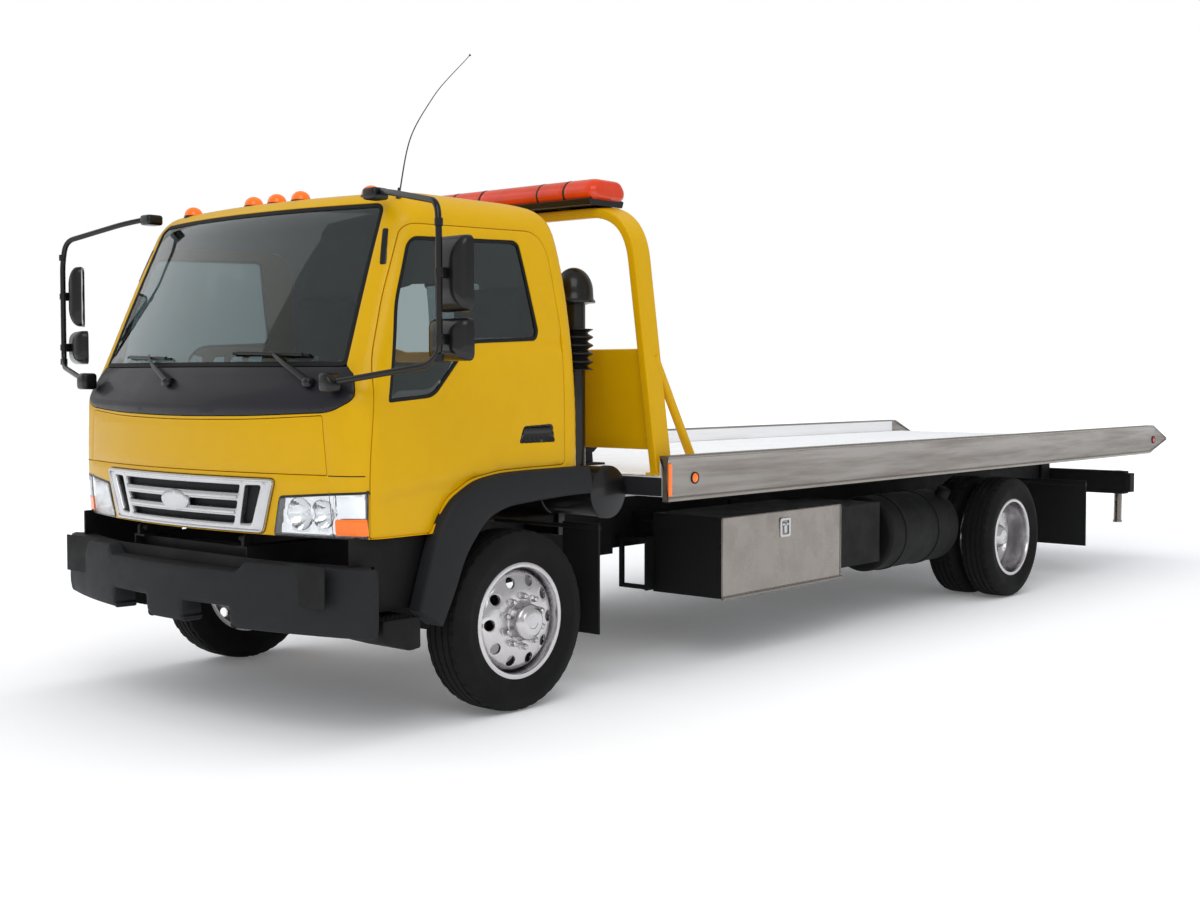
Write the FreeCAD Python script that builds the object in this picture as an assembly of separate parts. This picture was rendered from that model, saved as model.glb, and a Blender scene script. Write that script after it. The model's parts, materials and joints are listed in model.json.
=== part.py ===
import FreeCAD, Part
import math
import os

# Flatbed tow truck, millimetres. X points to the driver's side, Y to the rear and Z up.
# It is drawn with y = 0 at the front axle and moved at the end so that the origin lies
# under the middle of the vehicle.

V = FreeCAD.Vector
MIRROR = (V(0, 0, 0), V(1, 0, 0))
SLIDE_FIT = 0.3

# Running gear
WHEELBASE = 4610.0
TYRE_R = 405.0
TYRE_W = 226.0
SEAT_R = 246.0
FLANGE_R = 262.0
FLANGE_T = 8.0
RIM_HALF = 93.0
BARREL_IN_R = 232.0
FRONT_TRACK_X = 1000.0
DUAL_OUTER_X = 1107.0
DUAL_INNER_X = 850.0
HUB_R = 95.0
SPINDLE_R = 38.0
KINGPIN_X = FRONT_TRACK_X - 150.0
KINGPIN_R = 20.0
HAND_HOLES = 10
WHEEL_SIDES = 20
HUB_SIDES = 14
BORE_ROOM = 1.4
AXLE_TUBE_R = 65.0
AXLE_TUBE_END = 700.0
AXLE_BOWL_R = 190.0
PINION_REACH = 330.0

# Truck frame
RAIL_OUT_X = 430.0
RAIL_TOP = 770.0
RAIL_H = 210.0
RAIL_FLANGE = 78.0
RAIL_WALL = 9.0
FRAME_FRONT = -960.0
FRAME_REAR = 6790.0

# Tilting sub-frame and its pivot
PIVOT_Y = 6750.0
PIVOT_Z = 800.0
PIVOT_PIN_R = 20.0
TILT_RAIL_IN = 350.0
TILT_RAIL_OUT = 424.0
TILT_TOP = 895.0
TILT_FRONT = 1000.0
LIFT_X = 270.0
LIFT_BASE_Y = 3000.0
LIFT_BASE_Z = 550.0
LIFT_EYE_Y = 4150.0
LIFT_EYE_Z = 830.0
LIFT_PIN_R = 18.0
BARREL_R = 50.0
ROD_R = 27.0
ROD_ROOM = 0.5

# Flat bed
BED_FRONT = 880.0
BED_HALF_W = 1220.0
BED_TOP = 1105.0
BED_BOTTOM = 881.0
TAIL_TIP_Y = 7350.0
TAIL_TIP_Z = 989.0
TAIL_TOP_Y = 7067.0
TAIL_BOTTOM_Y = 7000.0
DECK_Z = 1003.0
DECK_T = 18.0
SIDE_T = 40.0
JOIST_BOTTOM = 905.0
JOIST_COUNT = 7
BED_LAMP_FRONT_Y = 1096.0
BED_LAMP_REAR_Y = 7072.0

# Winch on the deck
WINCH_Y = 1300.0
WINCH_Z = 1160.0
WINCH_SHAFT_R = 22.0

# Headboard and light bar
HEAD_HALF_W = 1125.0
HEAD_TOP = 2290.0
HEAD_TUBE_X = 50.0
HEAD_TUBE_Y = 125.0
HEAD_FOOT_Y = 972.0
HEAD_LEAN = 6.5
HEAD_CORNER_R = 230.0
PANEL_LOW = 1130.0
PANEL_HIGH = 1630.0
LIGHT_HALF = 900.0
LIGHT_DEPTH = 280.0
LIGHT_H = 135.0

# Cab
CAB_WALL = 45.0
CAB_BOTTOM = 845.0
FRONT_ARC_R = 3200.0
CORNER_W = 105.0
CORNER_L = 140.0
REAR_R = 70.0
BELT_Z = 1360.0
ROOF_EDGE_Z = 2195.0
FLOOR_FRONT_Z = 900.0
FLOOR_REAR_Z = 985.0
FLOOR_T = 35.0
CAB_PIVOT_Y = -935.0
CAB_PIVOT_Z = 800.0
CAB_PIN_R = 13.0
HINGE_LUG_R = 24.0
PANEL_GAP = 5.0
GLASS_T = 6.0
GLASS_DEPTH = 14.0
FLOOR_STEP_Y = -530.0
TUNNEL_HALF = 330.0
TUNNEL_TOP = 1250.0
SHEET_T = 30.0
LAMP_DEPTH = 35.0
REBATE_T = 20.0
REBATE_W = 18.0

# Plan sections of the cab: height, half width, front face, rear face
CAB_SECTIONS = (
    (CAB_BOTTOM, 1062.0, -1018.0, 440.0),
    (1100.0, 1052.0, -1035.0, 446.0),
    (BELT_Z, 1042.0, -1030.0, 452.0),
    (1520.0, 1030.0, -948.0, 452.0),
    (1800.0, 1003.0, -826.0, 440.0),
    (2100.0, 965.0, -696.0, 402.0),
    (2200.0, 940.0, -648.0, 372.0),
    (2262.0, 878.0, -583.0, 312.0),
    (2290.0, 740.0, -440.0, 170.0),
)

# Wheel-arch flares
FLARE_OUT_X = 1122.0
FLARE_IN_X = 1000.0
FLARE_DROP = 8.0
FLARE_END_Y = 440.0

# Bumper and steps
BUMPER_FRONT = -1100.0
BUMPER_TOP = 721.0
BUMPER_BOTTOM = 439.0
BUMPER_HALF_W = 1150.0
BUMPER_WALL = 40.0
BUMPER_REAR = -800.0
BUMPER_DIP = 42.0
SHELF_DEPTH = 60.0
TOW_SLOT = (140.0, 437.0, 530.0)

# Toolboxes, tank and boxes between the axles
BOX_OUT_X = 1112.0
BOX_IN_X = 650.0
BOX_Y0 = 1450.0
SIDE_ROOM = WHEELBASE - 550.0 - BOX_Y0
BOX_GAP = 80.0
BOX_Y1 = BOX_Y0 + SIDE_ROOM * 115.0 / 261.0
BATTERY_Y0 = BOX_Y1 + BOX_GAP
BATTERY_Y1 = BATTERY_Y0 + SIDE_ROOM * 44.0 / 261.0
BOX_Z0 = 335.0
BOX_Z1 = 760.0
BOX_WALL = 6.0
DOOR_T = 10.0
BOX_HINGE_R = 9.0
SIDE_BOX_X = 520.0
TANK_R = 235.0
TANK_X = 860.0
TANK_Z = 515.0
TANK_Y0 = BATTERY_Y1 + BOX_GAP
TANK_Y1 = BOX_Y0 + SIDE_ROOM

# Tow pin bores behind the bumper slots and the hitch bolt pattern on the rear beam
TOW_PIN_X = 391.0
TOW_PIN_Y = -1000.0
TOW_PIN_R = 16.0
TOW_BOSS_Z0 = 570.0
TOW_BOSS_Z1 = 700.0
HITCH_X = 85.7
HITCH_H = 44.5
HITCH_Z = 650.0
HITCH_HOLE_R = 6.75

ORIGIN_Y = -(BUMPER_FRONT + TAIL_TIP_Y) / 2.0


def box(x0, x1, y0, y1, z0, z1):
    """Block between two corners."""
    return Part.makeBox(x1 - x0, y1 - y0, z1 - z0, V(x0, y0, z0))


def rod(start, end, radius):
    """Truly round bar from one point to another, for pins and bores."""
    axis = V(*end) - V(*start)
    return Part.makeCylinder(radius, axis.Length, V(*start), axis)


def lathe(profile, centre, axis, sides):
    """Solid turned about an axis through a centre, from (height, radius) points, in flat facets."""
    along = V(*axis).normalize()
    side = V(0, 1, 0) if abs(along.y) < 0.9 else V(1, 0, 0)
    side = (side - along * side.dot(along)).normalize()
    other = along.cross(side)
    turns = [2 * math.pi * k / sides for k in range(sides)]
    spokes = [side * math.cos(a) + other * math.sin(a) for a in turns]
    rings = [[V(*centre) + along * h + spoke * r for spoke in spokes] for h, r in profile]
    steps = zip(profile, profile[1:] + profile[:1], rings, rings[1:] + rings[:1])
    faces = []
    for (h0, r0), (h1, r1), ring0, ring1 in steps:
        if r0 == 0 and r1 == 0:
            continue
        if h0 == h1:
            small, large = sorted(((r0, ring0), (r1, ring1)), key=lambda pair: pair[0])
            flat = polygon_face(large[1])
            faces += (flat.cut(polygon_face(small[1])) if small[0] else flat).Faces
            continue
        for k in range(sides):
            m = (k + 1) % sides
            corners = [ring0[k]] + ([ring0[m]] if r0 else []) + ([ring1[m]] if r1 else []) + [ring1[k]]
            faces.append(polygon_face(corners))
    solid = Part.Solid(Part.Shell(faces))
    if solid.Volume < 0:
        solid.reverse()
    return solid


def bar(start, end, radius, sides):
    """Straight bar with a many-sided section."""
    axis = V(*end) - V(*start)
    length = axis.Length
    return lathe([(0, 0), (0, radius), (length, radius), (length, 0)], start, axis, sides)


def polygon_face(points):
    """Flat face inside a closed run of points."""
    corners = [V(*p) for p in points]
    return Part.Face(Part.makePolygon(corners + corners[:1]))


def bent_route(points, bend, steps):
    """Route through points with each corner rounded into a few short runs."""
    route = [V(*p) for p in points]
    out = [route[0]]
    for before, corner, after in zip(route, route[1:], route[2:]):
        back = (before - corner).normalize()
        ahead = (after - corner).normalize()
        reach = bend / math.tan(back.getAngle(ahead) / 2.0)
        into = corner + back * reach
        away = corner + ahead * reach
        for k in range(steps + 1):
            t = k / steps
            out.append(into * (1 - t) ** 2 + corner * 2 * t * (1 - t) + away * t ** 2)
    return out + [route[-1]]


def tube(route, radius, sides):
    """Bar with a many-sided section that follows a route of vectors."""
    runs = [(b - a).normalize() for a, b in zip(route, route[1:])]
    ways = [runs[0]] + [(a + b).normalize() for a, b in zip(runs, runs[1:])] + [runs[-1]]
    side = ways[0].cross(V(0.31, 0.27, 0.91)).normalize()
    rings = []
    for point, way in zip(route, ways):
        side = (side - way * side.dot(way)).normalize()
        other = way.cross(side)
        turns = [2 * math.pi * k / sides for k in range(sides)]
        rings.append([point + (side * math.cos(a) + other * math.sin(a)) * radius for a in turns])
    return stacked(rings)


def stacked(rings):
    """Solid between flat end faces, in triangles that mirror each other across the middle of each ring."""
    faces = [polygon_face(rings[0]), polygon_face(rings[-1])]
    count = len(rings[0])
    for low, high in zip(rings, rings[1:]):
        for k in range(count):
            m = (k + 1) % count
            near, far = (low[k], high[m]) if 2 * k < count else (low[m], high[k])
            faces.append(polygon_face([low[k], low[m], far]))
            faces.append(polygon_face([near, high[m], high[k]]))
    solid = Part.Solid(Part.Shell(faces))
    if solid.Volume < 0:
        solid.reverse()
    return solid


def prism_x(points, x0, x1):
    """Side profile of (y, z) points carried across from x0 to x1."""
    return polygon_face([(x0, y, z) for y, z in points]).extrude(V(x1 - x0, 0, 0))


def prism_y(points, y0, y1):
    """Front profile of (x, z) points carried back from y0 to y1."""
    return polygon_face([(x, y0, z) for x, z in points]).extrude(V(0, y1 - y0, 0))


def mirrored(shape):
    """The same shape on the other side of the vehicle."""
    return shape.mirror(*MIRROR)


def both_sides(shape):
    """A shape and its mirror image as one compound."""
    return Part.makeCompound([shape, mirrored(shape)])


def fused(shapes):
    """All the shapes joined into one, with seams between flush faces removed."""
    first, *rest = shapes
    return (first.fuse(rest) if rest else first).removeSplitter()


def turned(profile, x0):
    """Wheel part turned about the wheel's axis in flat facets, from (x, r) points."""
    return lathe(profile, (x0, 0, TYRE_R), (1, 0, 0), WHEEL_SIDES)


def plan_ring(z, half_w, front_y, rear_y, offset):
    """Plan section of the cab as a run of corners: bowed front, round corners and straight sides."""
    half_w += offset
    front_y -= offset
    rear_y += offset
    corner_x = half_w - CORNER_W
    drop = corner_x ** 2 / (2.0 * FRONT_ARC_R)
    bow = [(corner_x * t, front_y + drop * t * t) for t in (0.33, 0.66, 1.0)]
    control = (half_w, front_y + drop + CORNER_W * corner_x / FRONT_ARC_R)
    side_in = (half_w, front_y + drop + CORNER_L)
    corner = []
    for t in (0.35, 0.7):
        weights = ((1 - t) ** 2, 2 * t * (1 - t), t * t)
        corner.append(tuple(sum(w * p[i] for w, p in zip(weights, (bow[-1], control, side_in))) for i in (0, 1)))
    half = bow + corner + [side_in, (half_w, rear_y - REAR_R), (half_w - REAR_R, rear_y)]
    return [V(x, y, z) for x, y in half + [(-x, y) for x, y in reversed(half)]]


def cab_solid(offset):
    """The whole cab as a solid body, grown or shrunk evenly by an offset."""
    return stacked([plan_ring(z + (offset if z > ROOF_EDGE_Z else 0.0), half_w, front_y, rear_y, offset)
                    for z, half_w, front_y, rear_y in CAB_SECTIONS])


CAB_LAYERS = {}


def cab_layer(outer, inner):
    """Shell of the cab between two offsets from its skin."""
    for offset in (outer, inner):
        if offset not in CAB_LAYERS:
            CAB_LAYERS[offset] = cab_solid(offset)
    return CAB_LAYERS[outer].cut(CAB_LAYERS[inner])


# Outlines on the cab, side ones as (y, z) and front ones as (x, z)
ARCH_TOP = [(-490.0, CAB_BOTTOM), (-401.0, 972.0), (-251.0, 1050.0), (-96.0, 1074.0), (77.0, 1079.0)]
DOOR_FRONT_Y = -806.0
DOOR_SIDE = [(DOOR_FRONT_Y, CAB_BOTTOM), *ARCH_TOP, (330.0, 1082.0), (352.0, 1660.0), (300.0, 2050.0),
             (262.0, 2120.0), (200.0, 2150.0), (-505.0, 2132.0), (-545.0, 2105.0), (-572.0, 2043.0),
             (-664.0, 1822.0), (-762.0, 1541.0), (DOOR_FRONT_Y, 1100.0)]
DOOR_SWING = [(-665.0, 1821.0), (-764.0, 1541.0), (DOOR_FRONT_Y - 2.0, 1100.0), (DOOR_FRONT_Y - 2.0, 830.0),
              (-761.0, 830.0), (-761.0, 1100.0), (-717.0, 1541.0), (-619.0, 1821.0)]
WINDOW_SIDE = [(-703.0, 1380.0), (-453.0, 1400.0), (-225.0, 1632.0), (180.0, 1652.0), (200.0, 1690.0),
               (120.0, 2085.0), (90.0, 2100.0), (-500.0, 2077.0), (-535.0, 2045.0), (-630.0, 1790.0)]
SCREEN_FRONT = [(-905.0, 1530.0), (905.0, 1530.0), (830.0, 2195.0), (790.0, 2225.0), (-790.0, 2225.0),
                (-830.0, 2195.0)]
COWL_FRONT = [(-985.0, 1412.0), (-860.0, 1345.0), (-500.0, 1322.0), (0.0, 1314.0), (500.0, 1322.0),
              (860.0, 1345.0), (985.0, 1412.0), (925.0, 1520.0), (-925.0, 1520.0)]
HOOD_FRONT = [(-890.0, 1085.0), (890.0, 1085.0), (865.0, 1330.0), (500.0, 1310.0), (0.0, 1302.0),
              (-500.0, 1310.0), (-865.0, 1330.0)]
GRILLE_FRONT = [(-520.0, 822.0), (520.0, 822.0), (618.0, 1062.0), (-618.0, 1062.0)]
LAMP_FRONT = [(585.0, 829.0), (1072.0, 841.0), (1070.0, 1022.0), (905.0, 1013.0), (648.0, 994.0)]
REAR_GLASS = [(-420.0, 1560.0), (420.0, 1560.0), (420.0, 1960.0), (-420.0, 1960.0)]
LAMP_SPLIT_X = 902.0
NOSE_Y = -1400.0
NOSE_END_Y = -560.0
WRAP_END_Y = DOOR_FRONT_Y - 6.0


def front_prism(points, gap=0.0, end_y=NOSE_END_Y):
    """Front outline carried back through the nose of the cab, drawn in by a gap."""
    face = polygon_face([(x, NOSE_Y, z) for x, z in points])
    if gap:
        face = Part.Face(face.OuterWire.makeOffset2D(-gap, 2))
    return face.extrude(V(0, end_y - gap - NOSE_Y, 0))


def side_prism(points, gap=0.0):
    """Side outline carried in from outside the driver's wall, drawn in by a gap."""
    face = polygon_face([(1200.0, y, z) for y, z in points])
    if gap:
        face = Part.Face(face.OuterWire.makeOffset2D(-gap, 2))
    return face.extrude(V(-500.0, 0, 0))


def pocket(prism, depth):
    """Part of a prism that lies within a depth of the cab's skin, with room for a fit."""
    return prism.common(cab_layer(0.0, -depth - SLIDE_FIT))


def cab_shell():
    """Body shell: one hollow skin with floor, engine tunnel, rebated doorways and openings."""
    skin = cab_layer(0.0, -CAB_WALL)
    through = [front_prism(SCREEN_FRONT), front_prism(COWL_FRONT, end_y=WRAP_END_Y), front_prism(GRILLE_FRONT)]
    through.append(rear_prism(0.0))
    doorway = side_prism(DOOR_SIDE, REBATE_W)
    swing = side_prism(DOOR_SWING)
    through += [doorway, mirrored(doorway), swing, mirrored(swing)]
    recess = pocket(side_prism(DOOR_SIDE), CAB_WALL - REBATE_T)
    lamp = pocket(front_prism(LAMP_FRONT, end_y=WRAP_END_Y), LAMP_DEPTH)
    pockets = [recess, mirrored(recess), lamp, mirrored(lamp), pocket(front_prism(HOOD_FRONT), SHEET_T)]
    skin = skin.cut(through + pockets)
    inner = CAB_LAYERS[-CAB_WALL]
    footwell = box(-1100, 1100, -1200, FLOOR_STEP_Y, CAB_BOTTOM, FLOOR_FRONT_Z)
    rear_floor = box(-1100, 1100, FLOOR_STEP_Y, 600, CAB_BOTTOM, FLOOR_REAR_Z + FLOOR_T)
    tunnel = box(-TUNNEL_HALF, TUNNEL_HALF, FLOOR_STEP_Y, 600, CAB_BOTTOM, TUNNEL_TOP)
    floor = inner.common(fused([footwell, rear_floor, tunnel]))
    arch = prism_x([(-490.0, 700.0), (-490.0, CAB_BOTTOM), (-401.0, FLOOR_REAR_Z), (600.0, FLOOR_REAR_Z),
                    (600.0, 700.0)], -1300, 1300)
    bay = box(-TUNNEL_HALF + 40, TUNNEL_HALF - 40, FLOOR_STEP_Y + 40, 400, 700, TUNNEL_TOP - 40)
    shell = skin.fuse(floor).cut([arch, bay])
    return biggest(shell.fuse(cab_hinges()).removeSplitter())


def biggest(shape):
    """The largest solid of a shape."""
    return max(shape.Solids, key=lambda s: s.Volume)


def cab_hinges():
    """Two lugs under the cab floor that turn on the hinge pins of the truck frame."""
    lugs = []
    for x0 in (360.0, -380.0):
        plate = box(x0, x0 + 20, CAB_PIVOT_Y - HINGE_LUG_R, CAB_PIVOT_Y + HINGE_LUG_R, CAB_PIVOT_Z, CAB_BOTTOM + 20)
        eye = bar((x0, CAB_PIVOT_Y, CAB_PIVOT_Z), (x0 + 20, CAB_PIVOT_Y, CAB_PIVOT_Z), HINGE_LUG_R, 12)
        hole = rod((x0 - 5, CAB_PIVOT_Y, CAB_PIVOT_Z), (x0 + 25, CAB_PIVOT_Y, CAB_PIVOT_Z), CAB_PIN_R + SLIDE_FIT)
        lugs.append(plate.fuse(eye).cut(hole))
    return lugs


def door_panel():
    """Driver's door: seated in its rebate, with its window cut and a handle recess."""
    panel = cab_layer(0.0, REBATE_T - CAB_WALL).common(side_prism(DOOR_SIDE, PANEL_GAP))
    handle = side_prism([(40.0, 1190.0), (268.0, 1190.0), (255.0, 1272.0), (70.0, 1265.0)])
    recess = handle.common(cab_layer(5.0, -16.0))
    return biggest(panel.cut([side_prism(WINDOW_SIDE), recess]))


def door_glass():
    """Side window that fills the opening in the door, as two flat panes of one pressing."""
    line = [(half_w - GLASS_DEPTH, z) for z, half_w, front_y, rear_y in CAB_SECTIONS if BELT_Z <= z <= ROOF_EDGE_Z]
    band = prism_y(line + [(x - GLASS_T, z) for x, z in reversed(line)], -900.0, 500.0)
    return biggest(band.common(side_prism(WINDOW_SIDE, SLIDE_FIT)))


def windscreen():
    """Bowed windscreen, set just below the skin."""
    return biggest(cab_layer(-3.0, -3.0 - GLASS_T).common(front_prism(SCREEN_FRONT, SLIDE_FIT)))


def cowl_band():
    """Dark band under the windscreen that carries the wipers."""
    return biggest(cab_layer(0.0, -SHEET_T).common(front_prism(COWL_FRONT, SLIDE_FIT, WRAP_END_Y)))


def front_panel():
    """Body-colour panel between the cowl and the lamps."""
    return biggest(cab_layer(0.0, -SHEET_T).common(front_prism(HOOD_FRONT, PANEL_GAP / 2)))


def rear_prism(gap):
    """Outline of the rear window carried through the back wall, drawn in by a gap."""
    face = polygon_face([(x, 300.0, z) for x, z in REAR_GLASS])
    if gap:
        face = Part.Face(face.OuterWire.makeOffset2D(-gap, 2))
    return face.extrude(V(0, 300, 0))


def rear_window():
    """Glass in the back wall of the cab."""
    return biggest(cab_layer(-18.0, -18.0 - GLASS_T).common(rear_prism(SLIDE_FIT)))


def grille():
    """Bright grille: three long slots with a slanted slot at each end."""
    body = cab_layer(14.0, -SHEET_T).common(front_prism(GRILLE_FRONT, SLIDE_FIT))
    slots = []
    for z0, z1, half in ((998.0, 1036.0, 425.0), (932.0, 968.0, 405.0), (866.0, 902.0, 380.0)):
        slots.append(front_prism([(-half, z0), (half, z0), (half + 10, z1), (-half - 10, z1)]))
    side = front_prism([(418.0, 855.0), (488.0, 862.0), (560.0, 1040.0), (466.0, 1036.0)])
    boss = prism_y([(110 * math.cos(a), 950 + 52 * math.sin(a)) for a in (math.radians(30 * k) for k in range(12))],
                   NOSE_Y, NOSE_END_Y)
    slots = [s.cut(boss) for s in slots]
    return biggest(body.cut(slots + [side, mirrored(side)]))


def headlamps():
    """Headlamp and corner lamp on each side, closed clear-fronted housings."""
    body = cab_layer(4.0, -LAMP_DEPTH).common(front_prism(LAMP_FRONT, 2.0, WRAP_END_Y))
    split = box(LAMP_SPLIT_X - 3, LAMP_SPLIT_X + 3, -1400, -500, 700, 1200)
    lamp = body.cut(split)
    return both_sides(Part.makeCompound([s for s in lamp.Solids if s.Volume > 20000]))


def fenders():
    """Black wheel-arch flares: a bent band round each front wheel opening."""
    outer = [(-593.0, 519.0), (-535.0, 700.0), (-476.0, 852.0)]
    outer += [(y, z - FLARE_DROP) for y, z in ARCH_TOP[1:]] + [(FLARE_END_Y, 1073.0)]
    inner = [(FLARE_END_Y, 946.0), (306.0, 944.0), (77.0, 932.0), (-96.0, 918.0), (-219.0, 873.0), (-339.0, 732.0),
             (-414.0, 559.0), (-477.0, 442.0)]
    band = prism_x(outer + inner, FLARE_IN_X, FLARE_OUT_X)
    return both_sides(biggest(band.cut(CAB_LAYERS[0.0])))


def roof_lamps():
    """Five amber marker lamps on the front of the roof."""
    lamps = []
    dome = [(-20, 0), (-20, 46.0), (10, 43.0), (34, 16.0), (34, 0)]
    for x in (-668.0, -177.0, 0.0, 177.0, 668.0):
        foot = 2268.0 if abs(x) < 500 else 2258.0
        lamps.append(lathe(dome, (x, -478.0, foot), (0, 0, 1), 10).cut(CAB_LAYERS[0.0]))
    return Part.makeCompound([biggest(lamp) for lamp in lamps])


MIRROR_TUBE_R = 13.0
MIRROR_ROUTE = [(850.0, -590.0, 2262.0), (1000.0, -650.0, 2240.0), (1385.0, -745.0, 2168.0), (1403.0, -755.0, 2060.0),
                (1403.0, -755.0, 1580.0), (1360.0, -775.0, 1530.0), (930.0, -905.0, 1462.0)]


def mirror_arms():
    """Black tube loops that carry the mirrors, with a foot above and below."""
    arm = tube(bent_route(MIRROR_ROUTE, 28.0, 2), MIRROR_TUBE_R, 6)
    top_foot = box(800, 880, -640, -560, 2225, 2275)
    low_foot = box(885, 960, -940, -870, 1425, 1500)
    arm = fused([arm, top_foot, low_foot]).cut(CAB_LAYERS[0.0])
    return both_sides(biggest(arm))


def mirror_heads():
    """Upper and lower mirror housings clamped to the loop."""
    heads = []
    for x, z, half_w, half_h in ((1400.0, 1890.0, 100.0, 152.0), (1385.0, 1632.0, 125.0, 86.0)):
        shell = box(x - half_w, x + half_w, -722.0, -655.0, z - half_h, z + half_h)
        shell = shell.makeChamfer(22.0, [e for e in shell.Edges if abs(e.tangentAt(e.FirstParameter).y) > 0.5])
        clamp = box(1385, 1421, -755.0, -720, z - 22, z + 22).cut(tube(bent_route(MIRROR_ROUTE, 28.0, 2),
                                                                       MIRROR_TUBE_R + SLIDE_FIT, 6))
        heads.append(biggest(fused([shell, clamp])))
    return both_sides(Part.makeCompound(heads))


def wipers():
    """Two parked wipers on the cowl band."""
    parts = []
    for x in (-100.0, 770.0):
        face = -1030.0 + x * x / (2 * FRONT_ARC_R) + (1456.0 - BELT_Z) * 0.53
        pivot = bar((x, face - 26, 1450.0), (x, face + 30, 1450.0), 14.0, 8)
        tip_y = -1030.0 + (x - 290) ** 2 / (2 * FRONT_ARC_R) + (1575.0 - BELT_Z) * 0.50
        arm = bar((x, face - 18, 1452.0), (x - 260, tip_y - 26, 1578.0), 8.0, 6)
        blade = bar((x - 510, tip_y - 8, 1578.0), (x - 40, tip_y - 8, 1572.0), 7.0, 6)
        parts.append(biggest(fused([pivot, arm, blade]).cut(CAB_LAYERS[0.0])))
    return Part.makeCompound(parts)


def aerial():
    """Whip aerial on the driver's side of the roof."""
    foot = lathe([(0, 0), (0, 14.0), (40, 8.0), (40, 0)], (850.0, -479.0, 2232.0), (0, 0, 1), 8)
    route = [(850.0, -479.0, 2265.0), (850.0, -420.0, 2480.0), (850.0, -290.0, 2690.0), (850.0, -60.0, 2920.0)]
    return biggest(fused([foot, tube(bent_route(route, 300.0, 2), 3.0, 6)]).cut(CAB_LAYERS[0.0]))


def seats():
    """Driver's seat and passenger bench, each a cushion and a back."""
    parts = []
    floor = FLOOR_REAR_Z + FLOOR_T + SLIDE_FIT
    for x0, x1 in ((350.0, 860.0), (-860.0, -350.0)):
        parts.append(box(x0, x1, -270.0, 205.0, floor, 1330.0))
        back = prism_x([(205.5, floor), (320.0, floor), (362.0, 1930.0), (272.0, 1930.0), (205.5, 1330.0)], x0, x1)
        parts.append(back)
    return Part.makeCompound(parts)


def dashboard():
    """Dashboard moulding across the cab under the windscreen."""
    profile = [(-885.0, 1200.0), (-640.0, 1180.0), (-590.0, 1400.0), (-640.0, 1470.0), (-840.0, 1490.0)]
    body = prism_x(profile, -955.0, 955.0)
    return biggest(body.common(cab_solid(-CAB_WALL - SLIDE_FIT)))


def steering_wheel():
    """Steering wheel on its column."""
    centre = V(480.0, -455.0, 1450.0)
    axis = V(0, 0.55, 0.83).normalize()
    ring = [(15.0 * math.sin(a), 205.0 + 15.0 * math.cos(a)) for a in (math.radians(72 * k) for k in range(5))]
    rim_ring = lathe(ring, centre, axis, 18)
    hub = lathe([(-30, 0), (-30, 55.0), (10, 55.0), (10, 0)], centre, axis, 12)
    across = axis.cross(V(1, 0, 0)).normalize()
    start = centre - axis * 8.0
    ends = (start + V(200, 0, 0), start - V(200, 0, 0), start + across * 200)
    spokes = [bar(start, end, 12.0, 6) for end in ends]
    column = bar(centre - axis * 20.0, centre - axis * 330.0, 32.0, 8)
    return biggest(fused([rim_ring, hub, *spokes, column]).cut(dashboard()))


def tyre(x):
    """Tyre as a closed ring with bulged sidewalls, seated on the rim between its flanges."""
    half = TYRE_W / 2.0
    bead = RIM_HALF - FLANGE_T - SLIDE_FIT
    side = [(bead, SEAT_R + SLIDE_FIT), (bead, FLANGE_R + 2), (half, 322.0), (half - 12, TYRE_R - 22),
            (half - 38, TYRE_R)]
    return turned(side + [(-a, r) for a, r in reversed(side)], x)


def barrel(x, reach=0.0):
    """Rim barrel of one wheel with a flange at each edge, or drawn on by a reach to the next barrel."""
    side = [(RIM_HALF, BARREL_IN_R), (RIM_HALF, FLANGE_R), (RIM_HALF - FLANGE_T, FLANGE_R),
            (RIM_HALF - FLANGE_T, SEAT_R)]
    if reach:
        return turned([(-RIM_HALF, BARREL_IN_R), (RIM_HALF + reach, BARREL_IN_R), (RIM_HALF + reach, SEAT_R),
                       (-RIM_HALF, SEAT_R)], x)
    return turned(side + [(-a, r) for a, r in reversed(side)], x)


def rim(x, disc_x, hub_x):
    """Wheel: rim barrel, a disc with hand holes, and a hub."""
    disc = turned([(-7, 60.0), (-7, BARREL_IN_R + 4), (7, BARREL_IN_R + 4), (7, 60.0)], disc_x)
    for k in range(HAND_HOLES):
        a = 2 * math.pi * k / HAND_HOLES
        y = 182.0 * math.cos(a)
        z = TYRE_R + 182.0 * math.sin(a)
        disc = disc.cut(bar((disc_x - 20, y, z), (disc_x + 20, y, z), 24.0, 6))
    reach = hub_x - disc_x
    bore = SPINDLE_R + BORE_ROOM
    hub = lathe([(-60, bore), (-60, HUB_R), (reach - 12, HUB_R - 12), (reach, HUB_R - 32), (reach, 0.0),
                 (reach - 25, 0.0), (reach - 25, bore)], (disc_x, 0, TYRE_R), (1, 0, 0), HUB_SIDES)
    return fused([barrel(x), disc, hub])


def front_rim():
    """Front wheel on the driver's side, its disc bulged outwards."""
    return rim(FRONT_TRACK_X, FRONT_TRACK_X + 84.0, FRONT_TRACK_X + 176.0)


def rear_rim():
    """Twin rear wheels on the driver's side on one hub, the outer disc dished inwards."""
    outer = rim(DUAL_OUTER_X, (DUAL_INNER_X + DUAL_OUTER_X) / 2 + 15.0, DUAL_OUTER_X + 30.0)
    gap = DUAL_OUTER_X - DUAL_INNER_X - 2 * RIM_HALF
    return fused([outer, barrel(DUAL_INNER_X, gap + 5)]).translated(V(0, WHEELBASE, 0))


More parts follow.
